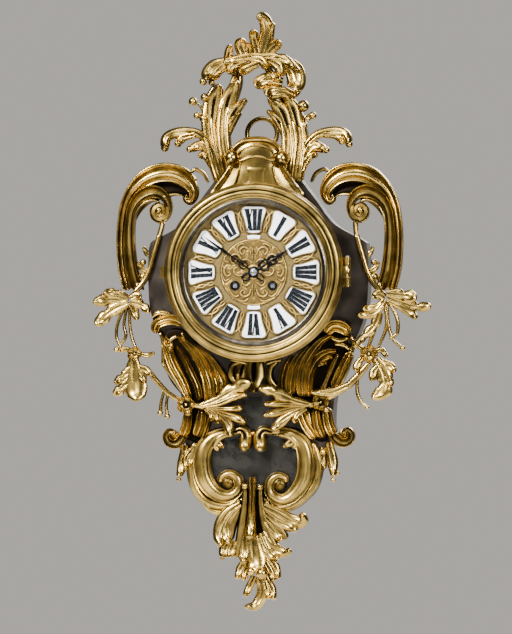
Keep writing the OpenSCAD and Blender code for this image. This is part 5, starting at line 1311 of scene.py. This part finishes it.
# Consoles: broad ribs, slim ribs and the volute below
VOLUTE_DISC = [(7.5, 0, 1), (7.4, 3.4, 0.7), (4, 4.4, 0.5), (0.3, 9, 0), (0.3, 0, 1)]
LEFT_CONSOLE_GROUND = [
    (-108, -238, 12), (-96, -258, 22), (-84, -284, 26), (-71, -308, 22), (-67, -330, 17), (-74, -352, 15),
    (-84, -370, 10),
]
RIGHT_CONSOLE_GROUND = [
    (100, -238, 12), (88, -258, 22), (74, -284, 28), (63, -308, 22), (64, -330, 16), (73, -352, 15),
    (84, -370, 10),
]
LEFT_CONSOLE_RIBS = [
    [(-123, -242, 3), (-122, -232, 4.5), (-111, -226, 5), (-99, -226, 4.5), (-90, -232, 3)],
    [(-114, -250, 2.4), (-109, -260, 4.6), (-101, -281, 5.6), (-90, -301, 5), (-82, -320, 3.6)],
    [(-98, -256, 1.2), (-90, -268, 2.6), (-80, -288, 3.2), (-72, -306, 3.2), (-69, -322, 3)],
    [(-97, -245, 1.4), (-84, -256, 3.4), (-70, -272, 5), (-61, -292, 6), (-57, -312, 6), (-58, -328, 5)],
    [(-78, -255, 1.4), (-62, -269, 3.6), (-50, -286, 5.6), (-43, -303, 6), (-44, -320, 4.4)],
    [(-83, -332, 4), (-85, -351, 4.6), (-90, -366, 4.6)],
    [(-66, -332, 4), (-69, -351, 5), (-74, -366, 4)],
    [(-57, -332, 3), (-61, -351, 3.2), (-67, -368, 3)],
]
LEFT_CONSOLE_SLIM = [
    [(-128, -222, 2.4), (-118, -217, 3), (-104, -219, 2.4)],
    [(-114, -278, 2.2), (-102, -295, 2.4), (-90, -312, 2.2)],
    [(-96, -244, 2.2), (-105, -250, 2.4), (-108, -260, 2.2)],
    [(-118, -240, 2.2), (-114, -252, 2.4), (-114, -280, 2.2)],
    [(-92, -240, 2), (-84, -256, 2.2), (-76, -275, 2.2)],
]
LEFT_CONSOLE_VOLUTE = [
    (-84, -350, 4.6), (-89, -364, 5.6), (-97, -374, 6.2), (-106, -373.6, 5.6), (-110, -366, 4.8),
    (-107, -359.6, 4), (-102, -361, 3.4), (-102, -365, 3),
]
LEFT_CONSOLE_LEAVES = [
    [(-88, -376, 4), (-90, -396, 6), (-95, -415, 3)],
    [(-112, -246, 3), (-106, -254, 4), (-103, -264, 2)],
    [(-84, -380, 3), (-80, -392, 4), (-82, -402, 2)],
]
LEFT_CONSOLE_BEADS = [(-108, -258, 4.5), (-85.6, -385, 4), (-95, -417, 3), (-82, -390, 3)]
RIGHT_CONSOLE_RIBS = [
    [(82, -242, 4), (91, -233, 5.5), (103, -235, 5.5), (111, -243, 4.5)],
    [(41, -268, 1.2), (34, -280, 2.8), (30, -296, 3.4), (30, -312, 3)],
    [(62, -256, 1.4), (48, -273, 3.8), (41, -293, 5), (39, -316, 4.4)],
    [(90, -244, 1.4), (76, -252, 3.2), (62, -270, 5), (54, -292, 5.6), (54, -318, 4.6)],
    [(96, -263, 1.6), (83, -265, 3.4), (70, -275, 4.4), (62, -293, 4.8), (61, -318, 4)],
    [(112, -264, 4), (102, -286, 5.2), (92, -308, 4.4)],
    [(51, -332, 4), (58, -351, 4.6), (70, -368, 4)],
    [(70, -332, 3.6), (72.5, -351, 4.2), (79, -367, 3.6)],
    [(83, -330, 4.4), (86, -350, 5), (92, -364, 5)],
]
RIGHT_CONSOLE_SLIM = [
    [(97, -266, 2.6), (87, -288, 3), (77, -311, 2.8)],
    [(88, -246, 2.4), (98, -250, 2.6), (110, -247, 2.2)],
    [(92, -254, 2.2), (104, -256, 2.6), (113, -262, 2.4)],
    [(60, -332, 2.6), (64, -351, 3), (72, -367, 2.6)],
    [(112, -244, 2.2), (115, -254, 2.4), (112, -266, 2.2)],
]
RIGHT_CONSOLE_VOLUTE = [
    (86, -350, 4.6), (91, -363, 5.6), (100, -372, 6.2), (109, -371, 5.6), (113, -364, 4.8),
    (109.6, -357.6, 4), (104.6, -359, 3.4), (104.6, -363, 3),
]
RIGHT_CONSOLE_LEAVES = [
    [(86, -372, 4), (90, -394, 6), (92, -414, 3)],
    [(80, -378, 3.4), (78, -392, 4.4), (82, -404, 2)],
    [(72, -277, 3), (82, -271, 3.6), (91, -270, 2)],
    [(66, -286, 2.4), (74, -279, 3), (84, -277, 2)],
]
RIGHT_CONSOLE_BEADS = [(79, -384, 4), (91, -417, 3), (96, -409, 3), (112, -263, 4)]


class CLOCK_OT_consoles(bpy.types.Operator):
    """Two consoles of ribs drawn together, with a volute and a leaf below"""

    bl_idname = "clock.consoles"
    bl_label = "Consoles"

    def execute(self, context):
        sizes, look = looks(context)
        left = (
            LEFT_CONSOLE_GROUND, LEFT_CONSOLE_RIBS, LEFT_CONSOLE_SLIM, LEFT_CONSOLE_VOLUTE,
            LEFT_CONSOLE_LEAVES, LEFT_CONSOLE_BEADS,
        )
        right = (
            RIGHT_CONSOLE_GROUND, RIGHT_CONSOLE_RIBS, RIGHT_CONSOLE_SLIM, RIGHT_CONSOLE_VOLUTE,
            RIGHT_CONSOLE_LEAVES, RIGHT_CONSOLE_BEADS,
        )
        for side, (ground, ribs, slim, volute, tips, beads) in (("left", left), ("right", right)):
            console = [carried(ground, FRONT_SEAT, SHADE_GROUND_SECTION, sizes.band_t * 0.4, count=80)]
            flutes = bands(ribs, FRONT_SEAT, FLUTE_SECTION, sizes.band_t * 1.15, count=80, spread=1.5)
            console += with_patina_and_shade(flutes, "console flutes")
            console += bands(slim, FRONT_SEAT, RIB_SECTION, sizes.band_t * 0.7, count=50, spread=1.3)
            console.append(carried(volute, FRONT_SEAT, HOLLOW_SECTION, sizes.band_t, count=120))
            x, z, _ = volute[-1]
            console.append(disc(VOLUTE_DISC, FRONT_SEAT, x, z))
            console += leaves(tips, FRONT_SEAT + 3, sizes.leaf_t * 1.3)
            console += balls(beads, FRONT_SEAT + 5)
            cast(f"{side}_bracket", console, look, f"{side}_console")
        return {"FINISHED"}


# Shell under the door, heart-shaped frame and pendant
APRON_LEAVES = [
    [(-3, -272, 8), (-5, -290, 12), (-4, -313, 4)],
    [(-14, -274, 4), (-20, -288, 6), (-20, -302, 2.6)],
]
APRON_CURLS = [
    [(24, -275, 3), (16, -283, 4), (15, -296, 4.5), (22, -305, 3.5), (27, -299, 2.4)],
    [(30, -274, 2.4), (20, -275, 3), (10, -279, 3)],
    [(-20, -276, 3), (-30, -280, 4), (-32, -293, 4.4), (-25, -302, 3.4), (-21, -295, 2.4)],
    [(-34, -273, 2.4), (-24, -275, 3), (-12, -278, 3)],
]
# Pearls on the shell's upper edge: degrees each way from the foot of the door, and their size and place
PEARL_SPAN = 12
PEARL_STEP = 2.4
PEARL_R = 2.2
PEARL_RISE = 0.3
HEART_INNER_LEFT = [
    (-24, -361, 4), (-38, -361, 6), (-54, -367, 8.6), (-64, -379, 11), (-67, -396, 12), (-64, -415, 11.6),
    (-55, -429, 10.4), (-43, -436.5, 9), (-31, -436, 7.8), (-22.5, -427, 7), (-24.5, -415, 6.2),
    (-35, -410, 5.4), (-44, -415, 4.4), (-44, -421, 3.2),
]
HEART_INNER_RIGHT = [
    (14, -360, 4), (28, -360, 6), (44, -365, 8.6), (55, -376, 11), (59, -394, 12), (57, -413, 11.6),
    (49.5, -428, 10.4), (38, -439, 9), (26, -441, 7.8), (15.5, -433, 7), (15.5, -420, 6.2),
    (24, -412.5, 5.4), (33, -415, 4.4), (34, -421, 3.2),
]
HEART_KNOBS = [
    [(-28, -360, 4), (-19, -358, 6.4), (-14.5, -364, 7.6), (-15, -376, 7.4), (-15.6, -384, 6.6)],
    [(18, -360, 4), (9, -358, 6.4), (3.6, -364, 7.6), (3.8, -376, 7.4), (4.2, -384, 6.6)],
]
HEART_TIPS = [
    [(-30, -362, 4), (-44, -366, 5.4), (-51, -376, 4.6), (-46, -383, 3.4)],
    [(24, -362, 4), (38, -365, 5.4), (46, -373, 4.6), (42, -380, 3.4)],
]
HEART_OUTER = [
    [(-75, -372, 4), (-80.5, -399.6, 4.6), (-76.9, -423.6, 4.6), (-65, -441.6, 4.6), (-48, -449, 4.4),
     (-32.5, -448, 4), (-22, -440, 3.4)],
    [(-70, -437, 2.6), (-56.5, -453.6, 3), (-38.5, -457, 3), (-24, -451, 2.4)],
    [(66, -372, 4), (73.5, -399.6, 4.6), (68.3, -423.6, 4.6), (55, -439, 4.6), (39.5, -449.5, 4.4),
     (21.5, -451, 4), (12, -442, 3.4)],
    [(-26, -444, 3), (-5, -440, 4), (16, -444, 3)],
]
HEART_LEAVES = [
    [(-58, -370, 3), (-48, -373, 4.6), (-39, -379, 2)],
    [(52, -373, 3), (42, -372, 4.8), (31, -378, 2.4)],
    [(-78, -380, 3), (-86, -392, 3.6), (-86, -406, 2)],
]
HEART_EYES = [(-36, -421), (26, -423)]
HEART_BEADS = [(-5.5, -361, 3)]
PENDANT_TONGUE = [
    (-5, -414, 4.4), (-5, -430, 4), (-5.4, -448, 4.2), (-6, -466, 5.6), (-7, -482, 7.6), (-7, -489, 7.2),
]
PENDANT_GROUND = [(-5, -428, 10), (-5, -448, 14), (-4, -472, 20), (-3, -494, 16)]
PENDANT_FLUTES = [
    [(-14, -424, 3), (-14.5, -446, 4.4), (-17, -468, 6), (-20, -490, 6.4), (-24, -510, 4.4)],
    [(4, -424, 3), (5, -446, 4.4), (9, -468, 6), (16, -488, 6.8), (26, -503, 5)],
    [(-22, -440, 3), (-24, -456, 5), (-30, -472, 6), (-33, -490, 5)],
    [(12, -442, 3), (16, -458, 5), (26, -474, 6), (36, -488, 4.4)],
]
PENDANT_LEAVES = [
    [(-20, -446, 4), (-34, -456, 6.4), (-43, -470, 7), (-45.5, -486, 6), (-42, -498, 3.4)],
    [(-24, -452, 4), (-36, -468, 6), (-37, -486, 6), (-31, -494, 3)],
    [(-34, -488, 5), (-38, -500, 6.6), (-41, -511, 4)],
    [(-28, -490, 5), (-31, -502, 6), (-30, -511, 3)],
    [(8, -448, 4), (26, -457, 6.4), (44, -467, 7.6), (56, -466, 5.6), (55, -456, 3)],
    [(10, -456, 4), (26, -467, 6), (42, -474, 5), (50, -477, 3)],
    [(10, -466, 4), (22, -480, 6.4), (32, -490, 3.6)],
    [(6, -480, 5), (16, -498, 8.6), (34, -504, 5), (42, -500, 2.6)],
    [(6, -486, 5), (14, -504, 7), (28, -511, 3.4)],
    [(-5, -484, 7), (-4, -500, 11), (-1, -518, 11.4), (0, -528, 6)],
    [(-14, -484, 5), (-15, -502, 7), (-16, -516, 4)],
    [(-12, -512, 4), (-19, -523, 5), (-24, -536, 2.8)],
    [(-9, -516, 3.6), (-14, -527, 4.4), (-15, -538, 2.6)],
    [(14, -510, 4), (22, -521, 5), (27, -536, 2.8)],
    [(11, -516, 3.6), (17, -528, 4.4), (21, -539, 2.6)],
    [(-3, -532, 3.6), (-9, -546, 4.4), (-14, -557, 3.2)],
    [(4, -534, 5), (6.5, -552, 6), (-1, -567, 5.4), (-13, -569, 3)],
    [(11, -534, 3.6), (18, -547, 4.6), (21, -561, 2.8)],
    [(8, -534, 3), (12, -548, 4), (15, -560, 2.6)],
]
PENDANT_BALLS = [(7, -529, 7.4), (-6, -526.5, 5), (-15, -514, 4.6)]
PENDANT_BEADS = [(-14, -425, 4), (4, -426, 4), (54, -459, 3.2), (-41, -511, 3), (-12, -569, 3)]
PENDANT_PEG = (-5, -453, 5)


class CLOCK_OT_heart(bpy.types.Operator):
    """Shell under the door, heart-shaped frame and leafy pendant"""

    bl_idname = "clock.heart"
    bl_label = "Shell, heart and pendant"

    def execute(self, context):
        sizes, look = looks(context)
        shell = leaves(APRON_LEAVES, [FRONT_SEAT + 2, FRONT_SEAT + 6], sizes.leaf_t)
        shell += bands(APRON_CURLS, FRONT_SEAT, RIB_SECTION, sizes.band_t * 0.8, count=60)
        for a in np.radians(np.arange(-PEARL_SPAN, PEARL_SPAN + 1, PEARL_STEP)).tolist():
            x, z = BEZEL_R * math.sin(a), DIAL_Z - BEZEL_R * math.cos(a) + PEARL_RISE
            shell.append(bead(x, z, PEARL_R, FRONT_SEAT + PEARL_R))
        # Painted shadow: the shell under the door is darkened as it lies in shade
        cast("door_shell", with_patina_and_shade(shell, "shell"), look, "bezel_apron")
        inner = (HEART_INNER_LEFT, HEART_INNER_RIGHT)
        knob_depths = [PANEL_SEAT + 5, PANEL_SEAT + 7, PANEL_SEAT + 5]
        heart = bands(inner, PANEL_SEAT, BAND_SECTION, sizes.band_t * 1.1, count=190)
        heart += bands(HEART_OUTER, FRONT_SEAT, RIB_SECTION, sizes.band_t * 0.8, count=90, spread=1.3)
        heart += leaves(HEART_KNOBS, knob_depths, sizes.band_t * 0.75, curl=2, spread=1.05)
        heart += bands(HEART_TIPS, PANEL_SEAT, RIB_SECTION, sizes.band_t, count=60)
        heart += leaves(HEART_LEAVES, PANEL_SEAT + 4, sizes.leaf_t)
        heart += balls(HEART_BEADS, PANEL_SEAT + 6)
        heart += [disc(VOLUTE_DISC, PANEL_SEAT, x, z, spread=1.2) for x, z in HEART_EYES]
        # Painted shade: the heart is darkened, the lower part of the clock lying in less light
        cast("heart_scrolls", with_patina_and_shade(heart, "heart"), look, "heart_frame")
        drop = leaves([PENDANT_TONGUE], PENDANT_D + 4, sizes.band_t * 0.7, curl=1, spread=1.0)
        drop.append(carried(PENDANT_GROUND, PENDANT_D - 5, SHADE_GROUND_SECTION, thick=5, count=60))
        flutes = bands(PENDANT_FLUTES, PENDANT_D - 2, RIB_SECTION, thick=7, count=60)
        drop += with_patina_and_shade(flutes, "pendant flutes")
        drop += leaves(PENDANT_LEAVES, PENDANT_D + 1, sizes.leaf_t * 1.2)
        drop += balls(PENDANT_BEADS, PENDANT_D + 4)
        drop += balls(PENDANT_BALLS, PENDANT_D + 10)
        drop.append(peg(*PENDANT_PEG, FRONT_SEAT, PENDANT_D + 1))
        cast("pendant_leaves", drop, look, "pendant")
        return {"FINISHED"}


# Nodes that keep their own shape, by finish
NODE_FINISHES = {
    "fire_gilt_bronze": ["hanging_ring", "bezel_catch", "hinge_bracket"],
    "lacquered_bronze": ["case_shell"],
    "varnished_sheet": ["lower_panel"],
    "matt_gilding": ["dial_plate"],
    "heat_blued_steel": ["winding_bushes"],
    "sunk_gilding": ["dial_centre"],
    "fired_enamel": ["enamel_strips"],
    "window_glass": ["glass"],
    "silvered_brass": ["sight_ring"],
    "bell_bronze": ["bell"],
    "polished_brass": [
        "back_cover", "front_plate", "back_plate", "plate_pillars", "going_barrel", "strike_barrel",
        "intermediate_wheel", "centre_wheel", "third_wheel", "escape_wheel", "suspension_cock",
        "pendulum_bob", "rating_nut", "minute_wheel", "hour_wheel", "pin_wheel", "count_wheel",
    ],
}


class CLOCK_OT_node_finishes(bpy.types.Operator):
    """Finishes of the solids that keep their own shape; the rest of the movement is steel"""

    bl_idname = "clock.node_finishes"
    bl_label = "Finishes"

    def execute(self, context):
        look = finishes(context.scene.clock_colours)
        finish_of = {node: finish for finish, nodes in NODE_FINISHES.items() for node in nodes}
        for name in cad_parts:
            mesh = bpy.data.objects[name].data
            mesh.materials.clear()
            mesh.materials.append(look[finish_of.get(name, "filed_steel")])
        return {"FINISHED"}


# Studio lights in metres: place, and size of the soft disc
STUDIO_LIGHTS = {
    "key": ((-1.4, -2.4, 1.5), 0.8),
    "fill": ((1.8, -2.3, 0.6), 0.8),
    "top": ((0.1, -1.0, 1.9), 1.0),
    "low": ((-0.3, -2.6, -1.4), 1.2),
    "rim": ((0.9, 1.7, 1.1), 1.2),
}
VIEW_END = 100


class CLOCK_OT_stage(bpy.types.Operator):
    """Camera, soft lights, sky and floor"""

    bl_idname = "clock.stage"
    bl_label = "Stage"

    def execute(self, context):
        scene, stage = context.scene, context.scene.clock_stage
        aim = np.array(stage.aim)
        camera = bpy.data.objects.new("camera", bpy.data.cameras.new("camera"))
        scene.collection.objects.link(camera)
        toward = np.array([math.sin(stage.azimuth), -math.cos(stage.azimuth), 0])
        camera.location = aim + toward * stage.distance
        camera.rotation_euler = (math.pi / 2, 0, stage.azimuth)
        camera.data.lens = camera.data.sensor_width * stage.distance / stage.view_h
        camera.data.clip_end = VIEW_END
        scene.camera = camera
        for name, (stand, size) in STUDIO_LIGHTS.items():
            lamp = bpy.data.lights.new(name, "AREA")
            lamp.shape = "DISK"
            lamp.size = size
            lamp.energy = getattr(stage, f"{name}_power")
            light = bpy.data.objects.new(name, lamp)
            light.location = stand
            light.rotation_euler = (Vector(aim) - Vector(stand)).to_track_quat("-Z", "Y").to_euler()
            scene.collection.objects.link(light)
        world = bpy.data.worlds.new("studio")
        world.use_nodes = True
        tree = world.node_tree
        tree.nodes.clear()
        ray = add(tree, "TexCoord")["Generated"]
        back = add(tree, "SeparateXYZ", {"Vector": ray})["Y"]
        share = add(tree, "MapRange", {"Value": back, "From Min": 0.2, "From Max": 0.95})["Result"]
        seen = add(tree, "LightPath")["Is Camera Ray"]
        pale = add(tree, "Math", {0: share, 1: seen}, operation="MAXIMUM")["Value"]
        tones = {MIX_BY: pale, MIX_FROM: stage.sky_front, MIX_TO: stage.sky_back}
        sky = add(tree, "Mix", tones, data_type="RGBA")[MIXED]
        add(tree, "OutputWorld", {"Surface": add(tree, "Background", {"Color": sky})["Background"]})
        scene.world = world
        low = CAD_BOX[0].z - stage.floor_drop
        half = stage.floor_half
        corners = [(-half, -half, low), (half, -half, low), (half, half, low), (-half, half, low)]
        mesh = bpy.data.meshes.new("floor")
        mesh.from_pydata(corners, [], [(0, 1, 2, 3)])
        tree = bare_material("studio_floor")
        surface = {"Base Color": stage.floor_tone, "Roughness": 0.7}
        add(tree, "OutputMaterial", {"Surface": add(tree, "BsdfPrincipled", surface)["BSDF"]})
        mesh.materials.append(bpy.data.materials["studio_floor"])
        floor = bpy.data.objects.new("floor", mesh)
        scene.collection.objects.link(floor)
        return {"FINISHED"}


OPERATORS = (
    CLOCK_OT_node_finishes,
    CLOCK_OT_dial,
    CLOCK_OT_hands,
    CLOCK_OT_door,
    CLOCK_OT_crown,
    CLOCK_OT_wings,
    CLOCK_OT_garlands,
    CLOCK_OT_consoles,
    CLOCK_OT_heart,
    CLOCK_OT_stage,
)


class CLOCK_PT_panel(bpy.types.Panel):
    """Lists the clock's pieces"""

    bl_label = "Cartel clock"
    bl_space_type = "VIEW_3D"
    bl_region_type = "UI"
    bl_category = "Clock"

    def draw(self, context):
        for operator in OPERATORS:
            self.layout.operator(operator.bl_idname)


CLASSES = (ClockColours, ClockSizes, ClockStage, *OPERATORS, CLOCK_PT_panel)


def register():
    for item in CLASSES:
        bpy.utils.register_class(item)
    bpy.types.Scene.clock_colours = PointerProperty(type=ClockColours)
    bpy.types.Scene.clock_sizes = PointerProperty(type=ClockSizes)
    bpy.types.Scene.clock_stage = PointerProperty(type=ClockStage)


def unregister():
    del bpy.types.Scene.clock_colours
    del bpy.types.Scene.clock_sizes
    del bpy.types.Scene.clock_stage
    for item in reversed(CLASSES):
        bpy.utils.unregister_class(item)


def main():
    """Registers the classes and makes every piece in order."""
    register()
    for operator in OPERATORS:
        group, name = operator.bl_idname.split(".")
        getattr(getattr(bpy.ops, group), name)()


if __name__ == "__main__":
    main()
